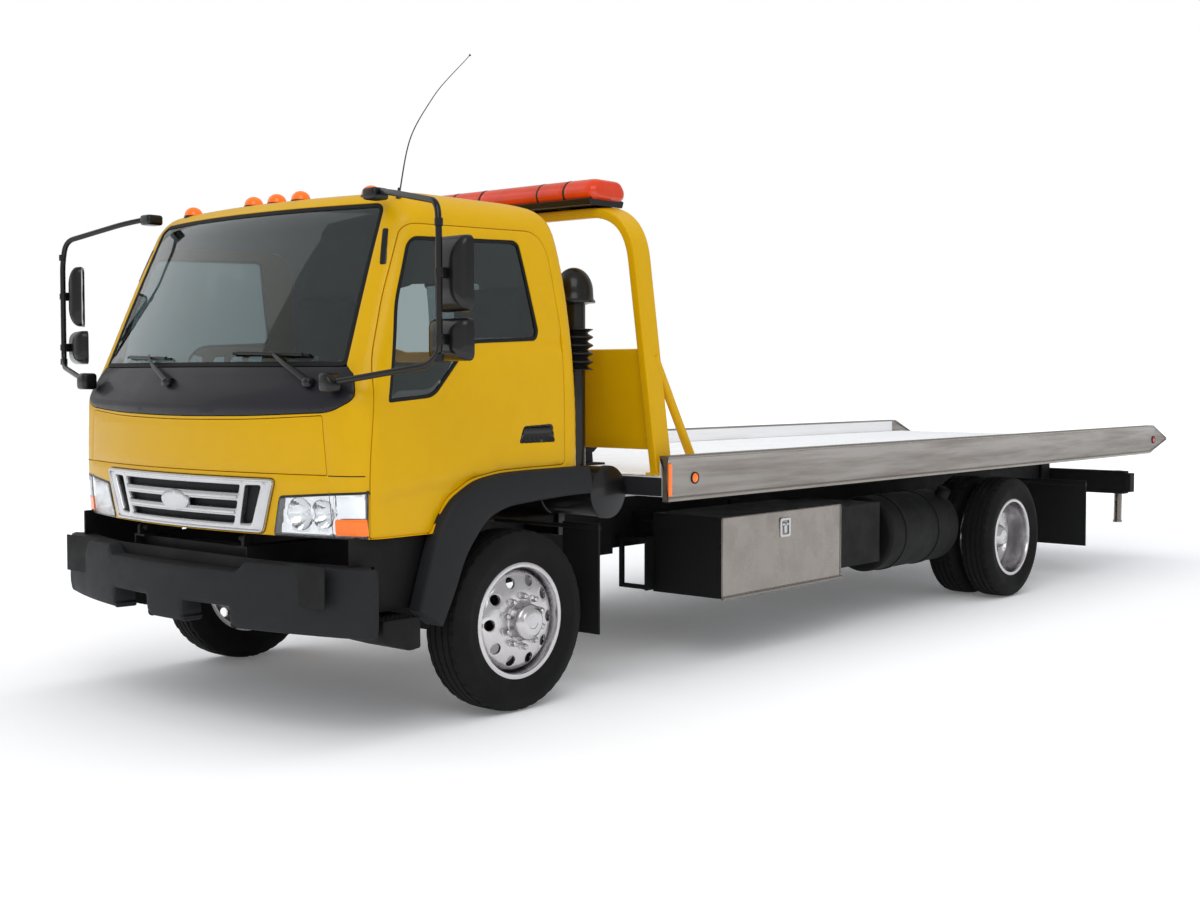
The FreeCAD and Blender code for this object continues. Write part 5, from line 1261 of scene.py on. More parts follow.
@dataclass
class CabFittings:
    """What hangs on the cab: flares, roof lamps, mirrors, wipers and the aerial.

    Args:
        form: outer form of the cab.
        flare_out: x of the flares' outer face.
        tube: radius of the mirror tubes.
        route: corners of a mirror tube.
    """

    form: CabForm
    flare_out: float = 1121
    tube: float = 13
    route: Run = ((850, -590, 2262), (1000, -650, 2240), (1385, -745, 2168), (1403, -755, 2060),
        (1403, -755, 1580), (1360, -775, 1530), (930, -905, 1462))

    def build(self) -> None:
        """Makes every fitting."""
        self.flares()
        self.liners()
        self.roof_lamps()
        self.mirrors()
        self.wipers()
        self.aerial()

    def flares(self) -> None:
        """Wheel-arch flares: rings of a hat-shaped section between an inner and an outer arch line."""
        outer = rounded([(-593, 519), (-535, 700), (-479, 861), (-401, 964), (-251, 1042), (-96, 1066),
            (77, 1071), (440, 1073)], 60, closed=False)
        inner = rounded([(-477, 442), (-414, 559), (-339, 732), (-219, 873), (-96, 918), (77, 932), (306, 944),
            (440, 946)], 60, closed=False)
        rows = np.linspace(0, 1, 90)
        lines = []
        for run in (inner, outer):
            along = np.concatenate([[0], np.cumsum(np.linalg.norm(np.diff(run, axis=0), axis=1))])
            lines.append(np.stack([np.interp(rows * along[-1], along, run[:, k]) for k in (0, 1)], -1))
        # across the flare: share of the way from inner to outer line, and x
        share = np.array([0, 0, 0.02, 0.07, 0.16, 0.5, 0.8, 0.9, 0.96, 1, 1, 0.55, 0.05])
        drop = np.array([120, 22, 10, 3, 0, 2, 8, 13, 22, 36, 90, 110, 120])
        flat = lines[0][:, None] * (1 - share[None, :, None]) + lines[1][:, None] * share[None, :, None]
        x = self.flare_out - np.broadcast_to(drop, flat.shape[:2])
        rings = np.concatenate([x[..., None], flat], -1)
        emit("arch_flares", capped(rings).both(), "cab", "dark_plastic", ["fenders"], sharp=50)

    def liners(self) -> None:
        """Dark liner panel that closes the gap between the bumper's end and the wheel arch, under the cab."""
        run = [(-880, 522, 6), (-556, 522, 20), (-500, 690, 60), (-455, 836, 6), (-880, 836, 6)]
        panel = trimmed(side_plane(1012), rounded_run(run), spacing=60, depth=14, roll=3)
        emit("arch_liners", panel.both(), "cab", "dark_paint", sharp=40)

    def roof_lamps(self) -> None:
        """Five marker lamps: a stretched dome over a black base."""
        turn = quarter_turn(9)
        dome = [(-14, 0), (-14, 43), *[(2 + 40 * math.sin(t), 43 * math.cos(t)) for t in turn[:-1]], (42, 0)]
        base = [(-20, 0), (-20, 46), (-4, 46), (0, 44), (0, 0)]
        lenses, feet = [], []
        for x, foot in ((-668, 2270), (-177, 2284), (0, 2284), (177, 2284), (668, 2270)):
            lenses.append(lathe(dome, 32, (x, -478, foot), "Z"))
            feet.append(lathe(base, 32, (x, -478, foot), "Z"))
        emit("marker_domes", joined(lenses), "cab", "amber_lens", ["roof_lamps"], sharp=50)
        emit("marker_bases", joined(feet), "cab", "gloss_black", sharp=40)

    def mirrors(self) -> None:
        """Tube loop swept along its rounded route, with feet, clamps, two housings and their glass."""
        path = rounded(self.route, (1, 90, 55, 60, 34, 34, 1), closed=False, steps=8)
        parts = [sweep(apart(path), circle(self.tube, 16), up=(0.31, 0.95, 0.05))]
        parts.append(block((84, 84, 50), (842, -600, 2250), 12, 18))
        # moulded foot on the cowl corner, a block with its outer top corner cut away
        foot = block((78, 74, 78), (922, -905, 1463), 14, 22)
        x, _, z = foot.points.T
        foot.points[:, 2] -= 26 * smooth_step(930, 962, x) * smooth_step(1440, 1500, z)
        parts.append(foot)
        clamp = [(-15, 0), (-15, 17), (15, 17), (15, 0)]
        parts += [lathe(clamp, 20, (1403, -755, z), "Z") for z in (2085, 1890, 1632, 1560)]
        emit("mirror_tubes", joined(parts).both(), "cab", "gloss_black", ["mirror_arms"], sharp=45)
        shells, panes = [], []
        # both sides' glass looks towards the driver, who sits on the left: the right heads turn further in
        heads = ((1400, 1890, 98, 150), (1378, 1632, 122, 84))
        for sign, x, z, half_w, half_h in [(sign, *head) for sign in (1, -1) for head in heads]:
            turned = (-4 if sign > 0 else 34 if half_w < 100 else 20), (1400, -700, 0)
            turn = quarter_turn(8)[1:]
            # housing: rings of a rounded rectangle that close towards the front along an ellipse
            ring = oblong(2 * half_w, 2 * half_h, 34, steps=6)
            size = [0, 0.93, 0.95, 1, 1, *(0.35 + 0.65 * np.cos(turn)), 0]
            depth = [-662, -662, -655, -655, -662, *(-672 - 49 * np.sin(turn)), -721]
            rings = np.stack([side_on((x, y, z), ring * s) for s, y in zip(size, depth)])
            shell = grid(rings, round_v=True).outward().turned("Z", *turned)
            shell = joined([shell, block((34, 36, 42), (1403, -738, z), 6)])
            shells.append(Side(sign).of(shell))
            pane = trimmed(plane_map((x, -662, z), (-1, 0, 0), (0, 0, 1)),
                oblong(1.84 * half_w, 1.84 * half_h, 28), spacing=60, outer=3, depth=3, roll=0.8)
            panes.append(Side(sign).of(pane.turned("Z", *turned)))
        emit("mirror_shells", joined(shells), "cab", "gloss_black", ["mirror_heads"], sharp=45)
        emit("mirror_glass", joined(panes), "cab", "reflector", sharp=30)

    def wipers(self) -> None:
        """Two parked wipers: pivot cap, tapered arm, and a rubber blade under its bow, all along the glass."""
        form = self.form
        parts, blades = [], []
        for x0, z0, x1, z1 in ((770, 1456, 500, 1587), (-100, 1456, -390, 1577)):
            tip = form.from_front([(x1, z1)])
            pivot = form.from_front([(x0, z0)])
            t = np.linspace(0, 1, 24)[:, None]
            lift = 6 + 26 * np.sin(np.linspace(0.25, math.pi, 24))
            arm = form(pivot * (1 - t) + tip * t, lift)
            parts.append(sweep(arm, oblong(11, 23, 3), scale=np.linspace(1.25, 0.6, 24)))
            cap = form(pivot, 12)[0]
            parts.append(block((52, 50, 40), tuple(cap), 12, 22))
            # the blade lies level from the tip towards the pivot's side
            run = np.stack([np.linspace(x1 - 225, x1 + 215, 40), np.linspace(z1 - 4, z1 - 14, 40)], -1)
            flat = form.from_front(run)
            blades.append(sweep(form(flat, 4), oblong(14, 10, 2)))
            parts.append(sweep(form(flat[3:-3], 11), oblong(11, 14, 3)))
        emit("wiper_arms", joined(parts), "cab", "gloss_black", ["wipers"], sharp=45)
        emit("wiper_blades", joined(blades), "cab", "flap_rubber", sharp=45)

    def aerial(self) -> None:
        """Whip aerial: a tapered rod on a smooth bend over a moulded foot, with a ball at its tip."""
        y, z = (smooth_curve([0, 0.35, 0.7, 1], run, np.linspace(0, 1, 50))
            for run in ([-479, -424, -282, -66], [2255, 2480, 2700, 2914]))
        path = np.stack([np.full(50, 850), y, z], -1)
        rod = sweep(path, circle(3.2, 10), up=(1, 0, 0), scale=np.linspace(1, 0.5, 50))
        ball = lathe([(-5, 0), (-3.5, 3.5), (0, 5), (3.5, 3.5), (5, 0)], 14, tuple(path[-1]), "Z")
        foot = lathe([(-22, 0), (-22, 15), (-4, 14), (16, 8), (30, 5), (30, 0)], 20, (850, -479, 2258), "Z")
        emit("whip_aerial", joined([rod, ball, foot]), "cab", "gloss_black", ["aerial"], sharp=50)


@dataclass
class Wheel:
    """Tyre and forged wheel at one end of an axle.

    Args:
        centre_x: x of the (outer) wheel's middle.
        centre_y: y of the axle.
        body: body that it rolls with.
        names: CAD nodes of tyre and rim.
        inner_x: x of the inner tyre of a twin pair.
        axle_z: height of the axle.
        tread_r: radius of the tread.
        rim_in: radius of the disc's edge.
        bead_r: inner radius of the tyre.
        hole_ring: radius of the ring that the hand holes stand on.
        hole_r: radius of a hand hole.
        bolt_ring: radius of the ring that the nuts stand on.
        count: number of hand holes and of nuts.
    """

    centre_x: float
    centre_y: float
    body: str
    names: tuple[str, str]
    inner_x: float | None = None
    axle_z: float = 405
    tread_r: float = 404.5
    rim_in: float = 232
    bead_r: float = 249
    hole_ring: float = 182
    hole_r: float = 24
    bolt_ring: float = 112.5
    count: int = 10

    def build(self, side: Side) -> None:
        """Makes tyres, rim and hub on one side."""
        spots = [self.centre_x] + ([self.inner_x] if self.inner_x else [])
        tyres = joined([self.tyre().moved(x, self.centre_y, self.axle_z) for x in spots])
        emit(f"{self.names[0]}_rubber", side.of(tyres), self.body, "tyre", [self.names[0]], sharp=28)
        parts = [self.barrel().moved(x) for x in spots]
        parts += [part.moved(self.centre_x) for part in (self.disc(), self.hub(), self.nuts())]
        wheel = joined(parts).moved(0, self.centre_y, self.axle_z)
        emit(f"{self.names[1]}_metal", side.of(wheel), self.body, "polished", [self.names[1]], sharp=34)

    @property
    def twin(self) -> bool:
        """A twin wheel has its disc dished in."""
        return self.inner_x is not None

    @property
    def foot(self) -> float:
        """x of the disc's flat middle, where hub and nuts stand."""
        return -104 if self.twin else 97

    def disc_line(self, radius: Array) -> Array:
        """x of the disc's outer face for each radius: bulged out in front, dished in behind."""
        dished = [self.foot, self.foot, -108, -106, -96, -76, -52]
        bulged = [self.foot, self.foot, 93, 86, 72, 52, 30]
        return smooth_curve([50, 118, 150, 182, 208, 224, 233], dished if self.twin else bulged, radius)

    def tyre(self) -> Surface:
        """Tyre about the origin: radius over (x, angle) is the moulded outline less grooves and sipes."""
        x = np.concatenate([np.linspace(-84, -111, 13), np.linspace(-112, -84, 9)[1:],
            np.linspace(-82, 82, 83)])
        r = np.concatenate([smooth_curve([0, 4, 8, 12], [250, 266, 296, 330], np.arange(13)),
            smooth_curve([0, 3, 6, 8], [330, 366, 388, 398], np.arange(1, 9)),
            self.tread_r - 5 * (np.linspace(-1, 1, 83) ** 4)])
        x = np.concatenate([x, -x[20::-1]])
        r = np.concatenate([r, r[20::-1]])
        turn = full_turn(320)
        grid_x, angle = x[:, None], turn[None, :]
        zigzag = 2.5 * np.abs(((angle * 80 / math.pi) % 2) - 1)
        tread = smooth_step(88, 78, np.abs(grid_x))
        groove = sum(smooth_step(5, 2.5, np.abs(np.abs(grid_x) - mid + zigzag - 1.2)) for mid in (20, 56))
        sipe = smooth_step(0.62, 0.8, np.abs(((angle * 40 / math.pi) % 2) - 1)) * smooth_step(58, 64,
            np.abs(grid_x))
        radius = r[:, None] - tread * np.maximum(10 * groove, 6 * sipe)
        # two moulded rings on the wall
        bulge = 2 * (smooth_step(6, 2, np.abs(r - 352)) + smooth_step(5, 2, np.abs(r - 284)))[:, None]
        wide = grid_x + np.sign(grid_x) * bulge * (1 - tread)
        points, bore = (np.stack(np.broadcast_arrays(wide, r * np.cos(angle), r * np.sin(angle)), -1)
            for r in (radius, np.full((len(x), 1), self.bead_r)))
        return grid(np.concatenate([points, bore[[-1, 0]]]), round_u=True, round_v=True).outward()

    def barrel(self) -> Surface:
        """Rim: a drop-centre barrel with a rolled flange at each edge, as one closed turned ring."""
        out = [(92.5, 240), (92.5, 252), (91, 259), (87, 261.5), (84.5, 258), (84, 247), (60, 245), (40, 240)]
        inn = [(40, 233), (60, 234), (86, 236)]
        half = out + [(-x, r) for x, r in reversed(out)] + [(-x, r) for x, r in reversed(inn)] + inn
        turn = full_turn(96)[:, None]
        x, r = np.array(half).T
        rings = np.stack(np.broadcast_arrays(x, r * np.cos(turn), r * np.sin(turn)), -1)
        return grid(rings, round_u=True, round_v=True).outward()

    def disc(self) -> Surface:
        """Disc with its round hand holes: a flat ring bent to the disc line."""
        hole_turn = 2 * math.pi * np.arange(self.count) / self.count
        holes = [circle(self.hole_r, 28, (self.hole_ring * math.cos(a), self.hole_ring * math.sin(a)))
            for a in hole_turn]

        def bent(flat: Array, height: float) -> Array:
            """Places on the disc: x follows the disc line of the radius, less its own height."""
            radius = np.hypot(*flat.T)
            return np.column_stack([self.disc_line(radius) + height, flat])

        return trimmed(bent, circle(self.rim_in, 96), [circle(60, 48), *holes], spacing=13, depth=13, roll=3.5)

    def hub(self) -> Surface:
        """Hub: a stepped turned cap with a domed end."""
        foot, end = self.foot, 28 if self.twin else 172
        reach = end - foot
        profile = [(foot - 20, 0), (foot - 20, 92), (foot + 4, 92), (foot + 8, 86), (foot + reach * 0.45, 82),
            (foot + reach * 0.72, 78), (foot + reach * 0.8, 72), (foot + reach * 0.86, 64),
            (foot + reach * 0.95, 58), (end - 2, 50), (end, 40), (end, 30), (end - 3, 26), (end - 3, 0)]
        return lathe(profile, 64)

    def nuts(self) -> Surface:
        """Capped wheel nuts, copies of one six-sided cap by whole-array turns about the axle."""
        one = joined([lathe([(-2, 0), (-2, 17.5), (4, 17.5), (6, 14), (6, 0)], 20),
            lathe([(4, 0), (4, 15), (26, 14), (33, 10), (36, 5), (37, 0)], 6)])
        one = one.moved(self.foot, self.bolt_ring)
        return joined([one.turned("X", 360 * (k + 0.5) / self.count) for k in range(self.count)])


@dataclass
class Bed:
    """Flat bed with its rails, planks, headboard and light bar.

    Args:
        front: y of the front edge.
        top: height of the rails.
        bottom: height of the rails' lower edge.
        deck_z: height of the deck.
        tail: y and z of the tail's tip.
        tail_top: y where the rail's top starts to fall.
        tail_bottom: y where its lower edge starts to rise.
        head_half: half width of the headboard at its foot.
        head_top: height of its arch before it leans.
        head_foot_y: y of its foot.
        lean: how far it leans forward, in degrees.
        bar_seams: distances of the light bar's seams from its middle.
    """

    front: float = 880
    top: float = 1105
    bottom: float = 881
    deck_z: float = 1003
    tail: tuple[float, float] = (7350, 989)
    tail_top: float = 7067
    tail_bottom: float = 7000
    head_half: float = 1125
    head_top: float = 2330
    head_foot_y: float = 972
    lean: float = 6.5
    bar_seams: tuple[float, ...] = (104, 520, 700)

    def build(self) -> None:
        """Makes every piece of the bed."""
        self.rails()
        self.deck()
        self.headboard()
        self.light_bar()
        self.lamps()

    def rails(self) -> None:
        """Side rails: one extruded section, its heights squeezed between the two edges towards the tail."""
        tip_y, tip_z = self.tail
        y = np.append(np.linspace(self.front, self.tail_bottom, 60),
            np.linspace(self.tail_bottom, tip_y, 16)[1:])
        low, high = (level + (tip_z + half - level) * np.clip((y - start) / (tip_y - start), 0, 1)
            for level, half, start in ((self.bottom, -4, self.tail_bottom), (self.top, 4, self.tail_top)))
        # section: x and share of the height, from the rolled lower lip round to the inside
        section = np.array([(1181, 0), (1205, 0), (1214, 0.004), (1219, 0.03), (1219.5, 0.065), (1215, 0.095),
            (1211.5, 0.11), (1211.5, 0.5), (1211.5, 0.905), (1214, 0.93), (1219, 0.945), (1219.5, 0.985),
            (1216, 1), (1166, 1), (1163.5, 0.99), (1163.5, 0.94), (1166, 0.93), (1181, 0.93)])
        z = low[:, None] + (high - low)[:, None] * section[:, 1]
        rings = np.stack(np.broadcast_arrays(section[:, 0], y[:, None], z), -1)
        emit("side_rails", capped(rings).both(), "bed", "aluminium", ["bed_rails"], sharp=30)
        # the rubbed lips along both edges are bright
        length, mid_y = self.tail_bottom - self.front, (self.front + self.tail_bottom) / 2
        lips = [block((6, length - 4, h), (1217.5, mid_y, z), 1.5)
            for h, z in ((19, self.bottom + 11), (13, self.top - 7.5))]
        emit("rail_lips", joined(lips).both(), "bed", "bright_sheet", sharp=30)
        # pale sheets on the rails' inner faces: painted sky light, standing in for the light that these faces
        # catch from the sky
        pale = block((1.6, length - 8, 86), (1162.6, mid_y, 1050), 0.4)
        emit("rail_insides", pale.both(), "bed", "deck_alloy", sharp=30)
        # painted cross beam that closes the bed's front
        beam = block((2 * 1178, 5, 91), (0, self.front - 0.4, 953), 2)
        emit("front_beam", beam, "bed", "dark_plastic", sharp=30)

    def deck(self) -> None:
        """Deck planks: height over x repeats a narrow seam and two low ribs per plank, down the sloping tail."""
        x = np.linspace(-1162, 1162, 601)
        plank = np.abs(((x / 145) % 1) - 0.5)
        rib = 1.6 * smooth_step(0.06, 0.03, np.abs(plank - 0.25)) - 3 * smooth_step(0.47, 0.49, plank)
        y = np.array([self.front + 1, 2000, 3500, 5000, 6500, self.tail_bottom + 96, self.tail[0] - 12])
        z = np.array([0] * 6 + [self.tail[1] + 2 - self.deck_z]) + self.deck_z + 3.2
        top = np.stack(np.broadcast_arrays(x[:, None], y, z + rib[:, None]), -1)
        # the planks' near-white finish is partly painted sky light
        emit("deck_planks", grid(top), "bed", "deck_alloy", sharp=30)

    def arch(self, grow: float) -> Array:
        """Centre line of the headboard's tube, drawn in by a distance, upright."""
        w, h = self.head_half - grow, self.head_top - grow
        line = rounded([(-w, 1004), (-w + 52, h), (w - 52, h), (w, 1004)], (1, 245, 245, 1), closed=False,
            steps=14)
        return np.column_stack([line[:, 0], np.full(len(line), self.head_foot_y), line[:, 1]])

    def leaned(self, surface: Surface) -> Surface:
        """A piece leaned forward about the foot of the headboard."""
        return surface.turned("X", self.lean, (0, self.head_foot_y, self.deck_z))

    def headboard(self) -> None:
        """Arched tube of rounded box section, the panel between its legs, and two round braces with pads."""
        path = self.arch(25)
        tube = sweep(path, oblong(49, 122, 11), up=(0, 1, 0))
        side = [(-1080, 1132), (1080, 1132), (1064, 1628), (-1064, 1628)]
        panel = trimmed(plane_map((0, self.head_foot_y - 20, 0), (1, 0, 0), (0, 0, 1)), rounded(side, 6),
            spacing=120, depth=38, roll=4)
        parts = [self.leaned(tube), self.leaned(panel)]
        for sign in (1, -1):
            x = 1085 * sign
            brace = np.linspace((x, 930, 1590), (x, 1284, 984), 8)
            parts.append(sweep(brace, circle(23, 24), up=(1, 0, 0)))
            parts.append(block((70, 92, 12), (x, 1284, 1010), 3, 8))
            parts.append(block((90, 140, 14), (1098 * sign, self.head_foot_y, 1011), 3, 8))
        body = joined(parts)
        body.points[:, 2] = np.maximum(body.points[:, 2], self.deck_z + 3)
        emit("headboard_arch", body, "bed", "cab_paint", ["headboard"], sharp=35)

    def light_bar(self) -> None:
        """Light bar: a rounded section along x that closes at its ends on an ellipse, with seams and a base."""
        reach, lean = self.head_top - self.deck_z, math.radians(self.lean)
        y0, middle = self.head_foot_y - reach * math.sin(lean), self.deck_z + reach * math.cos(lean) + 72
        half, run = 900, 60
        ends = half - run * (1 - np.cos(quarter_turn(9)))
        x = np.concatenate([-ends, np.linspace(-838, 838, 120), ends[::-1]])
        close = np.clip((half - np.abs(x)) / run, 0, 1)
        size = np.sqrt(1 - (1 - close) ** 2) * 0.32 + 0.68
        size[[0, -1]] = 0.6
        seam = sum(smooth_step(7, 3, np.abs(np.abs(x) - at)) for at in self.bar_seams)
        section = rounded([(-118, -44), (118, -44), (134, 6), (92, 60), (-92, 60), (-134, 6)], 32, steps=6)
        rings = np.stack(np.broadcast_arrays(x[:, None], y0 + section[:, 0] * (size - 0.03 * seam)[:, None],
            middle + section[:, 1] * (size - 0.05 * seam)[:, None]), -1)
        emit("bar_lens", capped(rings), "bed", "bar_lens", ["light_bar"], sharp=40)
        parts = []
        under = [(118, -72), (-118, -72), (-130, -40), (130, -40)]
        spine = np.linspace((-872, y0, middle + 2), (872, y0, middle + 2), 30)
        parts.append(sweep(spine, rounded(under, 6)))
        for at in self.bar_seams:
            for sign in (1, -1):
                strap = side_plane(at * sign, y0, middle)(section * (0.985, 0.98), 0)
                parts.append(sweep(strap, oblong(5, 12, 1.5), up=(1, 0, 0), closed=True))
        for sign in (1, -1):
            parts.append(block((84, 78, 16), (620 * sign, y0, middle - 68), 3, 12))
        emit("bar_base", joined(parts), "bed", "gloss_black", sharp=40)

    def lamps(self) -> None:
        """Reflector and marker lamps on the rails, each lens in a black rubber ring."""
        x = 1213
        turn = quarter_turn(6)
        dome = [(0, 0), (0, 24), *[(1 + 5 * math.sin(t), 6 + 18 * math.cos(t)) for t in turn], (6.2, 0)]
        ring = [(0, 0), (0, 29.5), (3.5, 29.5), (4.5, 27.5), (3.5, 24.5), (1, 24), (1, 0)]
        amber = lathe(dome, 32, (x, 1096, 989))
        strip = trimmed(side_plane(x, 899, 988), oblong(28, 160, 5), spacing=30, outer=4.6, depth=4.6, roll=2)
        emit("rail_markers", joined([amber, strip]).both(), "bed", "amber_lens", ["bed_lamps"], sharp=45)
        emit("rail_reds", lathe(dome, 32, (x, 7072, 989)).both(), "bed", "red_lens", sharp=45)
        rings = joined([lathe(ring, 32, (x, y, 989)) for y in (1096, 7072)])
        emit("marker_rings", rings.both(), "bed", "flap_rubber", sharp=40)


@dataclass
class Chassis:
    """Bumper, boxes, tank, intake and stand: the frame's pieces that are smoother than the solids.

    Args:
        bumper_front: y of the bumper's face in the middle.
        bumper_half: half of its width.
        bumper_low: height of its lower edge.
        bumper_high: height of its upper edge.
        bumper_bend: width of its round corner and the length of face that goes round it.
    """

    bumper_front: float = -1090
    bumper_half: float = 1150
    bumper_low: float = 439
    bumper_high: float = 721
    bumper_bend: tuple[float, float] = (90, 160)

    def build(self) -> None:
        """Makes every piece."""
        self.bumper()
        self.tank()
        self.intake()
        self.stand()
        self.steps()
        for side in Side:
            self.toolbox(side)

    def steps(self) -> None:
        """Moulded step on each side: its lower edge climbs towards the bumper, its tread is knurled."""
        run = [(-788, 500, 8), (-788, 408, 30), (-640, 360, 24), (-587, 368, 8), (-587, 500, 8)]
        body = trimmed(side_plane(1098), anticlockwise(rounded_run(run)), spacing=60, depth=246, roll=8)
        arms = [block((425, 56, 42), (643, -690, 597), 4), block((30, 56, 140), (866, -690, 552), 4)]
        # tread: pegs 3 mm high on a square pitch, where the product of two waves is high
        u, v = np.meshgrid(np.linspace(862, 1088, 114), np.linspace(-778, -598, 91), indexing="ij")
        peg = np.sin(u * math.pi / 12) * np.sin(v * math.pi / 12)
        tread = grid(np.stack([u, v, 500.6 + 3 * smooth_step(0.35, 0.6, peg)], -1))
        emit("step_boxes", joined([body, *arms, tread]).both(), "chassis", "dark_paint", ["entry_steps"],
            sharp=40)

    def bumper_line(self, s: Array) -> Array:
        """Plan of the bumper's face for a length from its middle: bowed front, round corner, straight end."""
        inner, run = self.bumper_half - self.bumper_bend[0], self.bumper_bend[1]
        a = np.abs(s)
        t = np.clip((a - inner) / run, 0, 1)
        x = np.where(a < inner, a, inner + (1 - (1 - t) ** 2) * self.bumper_bend[0])
        round_y = self.bumper_front + bow(inner) + 2 * t * (1 - t) * 20 + t * t * 67
        y = np.where(a < inner, self.bumper_front + bow(a), round_y) + np.maximum(a - inner - run, 0)
        return np.stack([np.sign(s + 1e-9) * x, y], -1)

    def bumper(self) -> None:
        """Moulded bumper: an outline with a dip, tow slots and a step, bent round the plan line."""

        def bent(flat: Array, height: float) -> Array:
            """Places on the face: plan line with its normal, and a slight roll at both edges."""
            s, z = flat.T
            ahead = self.bumper_line(s + 1) - self.bumper_line(s - 1)
            normal = np.stack([ahead[:, 1], -ahead[:, 0]], -1)
            normal /= np.linalg.norm(normal, axis=1)[:, None]
            edge = 7 * (smooth_step(70, 0, self.bumper_high - z) + smooth_step(60, 0, z - self.bumper_low))
            return np.column_stack([self.bumper_line(s) + normal * (height - edge)[:, None], z])

        low, high, end = self.bumper_low, self.bumper_high, 1220
        half = [(140, low, 10), (140, 530, 14), (437, 530, 14), (437, low, 10), (end, low, 10), (end, high, 18),
            (515, high, 20), (478, high - 42, 20)]
        outline = anticlockwise(rounded_run([(-x, z, b) for x, z, b in reversed(half)] + half))
        moulding = trimmed(bent, outline, spacing=24, depth=96, roll=14)
        bosses = block((78, 88, 96), (391, -1002, 616), 6).both()
        # thin black sheet that closes the gap behind the bumper: painted shade, standing in for the shadow there
        shade_sheet = block((1960, 6, 170), (0, -984, 645), 2)
        emit("air_guide", shade_sheet, "chassis", "dark_paint", sharp=40)
        emit("bumper_moulding", joined([moulding, bosses]), "chassis", "dark_plastic", ["bumper"], sharp=40)

    def tank(self) -> None:
        """Round fuel tank with domed ends, rolled straps and a filler neck."""
        middle, straps_y = (860, 0, 515), (3390, 3800)
        rim = [(25 * math.cos(t), 200 + 34 * math.sin(t)) for t in quarter_turn(8)]
        front, rear = [(3226 - y, r) for y, r in rim], [(4034 + y, r) for y, r in reversed(rim)]
        shell = lathe([(3202, 0), (3201, 190), *front, *rear, (4059, 190), (4058, 0)], 72, middle, "Y")
        straps = [lathe([(y - 26, 233), (y - 24, 240), (y + 24, 240), (y + 26, 233)], 72, middle, "Y")
            for y in straps_y]
        neck = lathe([(0, 0), (0, 46), (58, 46), (60, 40), (66, 40), (66, 0)], 36, axis="Z")
        neck = neck.turned("Y", 26.6).moved(980, 4000, 705)
        stays = [block((350, 58, 58), (605, y, 630), 4) for y in straps_y]
        emit("tank_shell", joined([shell, *straps, neck, *stays]), "chassis", "dark_paint", ["fuel_tank"],
            sharp=35)

    def intake(self) -> None:
        """Air cleaner with end caps, pleated bellows, riser and a hooded inlet."""
        can = lathe([(612, 0), (610, 110), (616, 128), (640, 129), (644, 123), (950, 123), (954, 129),
            (978, 128), (984, 112), (985, 0)], 48, (0, 715, 930))
        step = np.linspace(1520, 1720, 61)
        pleat = [(float(z), 78 + 13 * math.cos((z - 1520) * math.pi / 20)) for z in step]
        bellows = lathe([(1520, 0), *pleat, (1720, 0)], 40, (800, 670, 0), "Z")
        riser = lathe([(1020, 0), (1020, 51), (1858, 51), (1858, 0)], 32, (800, 671, 0), "Z")
        # rain cap: a mushroom dome with a drip lip
        turn = quarter_turn(12)
        hood = lathe([(1838, 0), (1838, 60), (1846, 88), (1846, 104), (1856, 105), (1866, 96),
            *[(1900 + 118 * math.sin(t), 94 * math.cos(t)) for t in turn]], 40, (802, 662, 0), "Z")
        stay = [block((225, 46, 42), (545, 715, 722), 4), block((38, 46, 130), (650, 715, 765), 4)]
        stack = joined([can, bellows, riser, hood, *stay])
        emit("intake_stack", stack, "chassis", "gloss_black", ["air_intake"], sharp=40)

    def stand(self) -> None:
        """Zinc-plated stand tube behind the rear beam, with its clamp and foot."""
        line = np.linspace((975, 6945, 335), (965, 6985, 735), 6)
        tube = sweep(line, circle(31, 28), up=(1, 0, 0))
        foot = lathe([(320, 0), (320, 37), (334, 37), (338, 32), (338, 0)], 28, (975, 6944, 0), "Z")
        clamp = block((78, 64, 24), (970, 6933, 652), 4)
        emit("stand_leg", joined([tube, foot, clamp]), "chassis", "bright_sheet", ["stand_tube"], sharp=40)

    def toolbox(self, side: Side) -> None:
        """Bright sheet door with hemmed edges, a shallow cross break, its T latch and a piano hinge."""
        mid_y, mid_z, face, half_w, half_h = 2025, 548, 1108.5, 569, 209

        def broken(flat: Array, height: float) -> Array:
            """The door's plane raised to a cross that falls off towards its edges."""
            y, z = flat.T
            rise = 4.5 * (1 - np.maximum(np.abs(y) / half_w, np.abs(z) / half_h))
            return np.column_stack([face + rise * 0.9 + height, mid_y + y, mid_z + z])

        door = trimmed(broken, oblong(2 * half_w, 2 * half_h, 8), spacing=40, depth=6, roll=2)
        hem = side_plane(1108, mid_y, mid_z)(oblong(1128, 408, 8, steps=5), 0)
        edge = sweep(hem, oblong(5, 10, 2), up=(1, 0, 0), closed=True)
        hinge = lathe([(1456, 0), (1456, 8.8), (2594, 8.8), (2594, 0)], 16, (1112, 0, 335), "Y")
        body = f"toolbox_door_{side.label}"
        emit(f"{body}_sheet", side.of(joined([door, edge, hinge])), body, "bright_sheet", [body], sharp=20)
        plate = trimmed(side_plane(1111.5, mid_y, 667), oblong(98, 108, 14), [oblong(66, 74, 10)], spacing=20,
            outer=5, depth=5, roll=2)
        bar = block((12, 22, 60), (1112, mid_y, 664), 5, 5)
        cross = block((10, 58, 16), (1113, mid_y, 684), 4, 4)
        emit(f"{body}_latch", side.of(joined([plate, bar, cross])), body, "bright_trim", sharp=40)


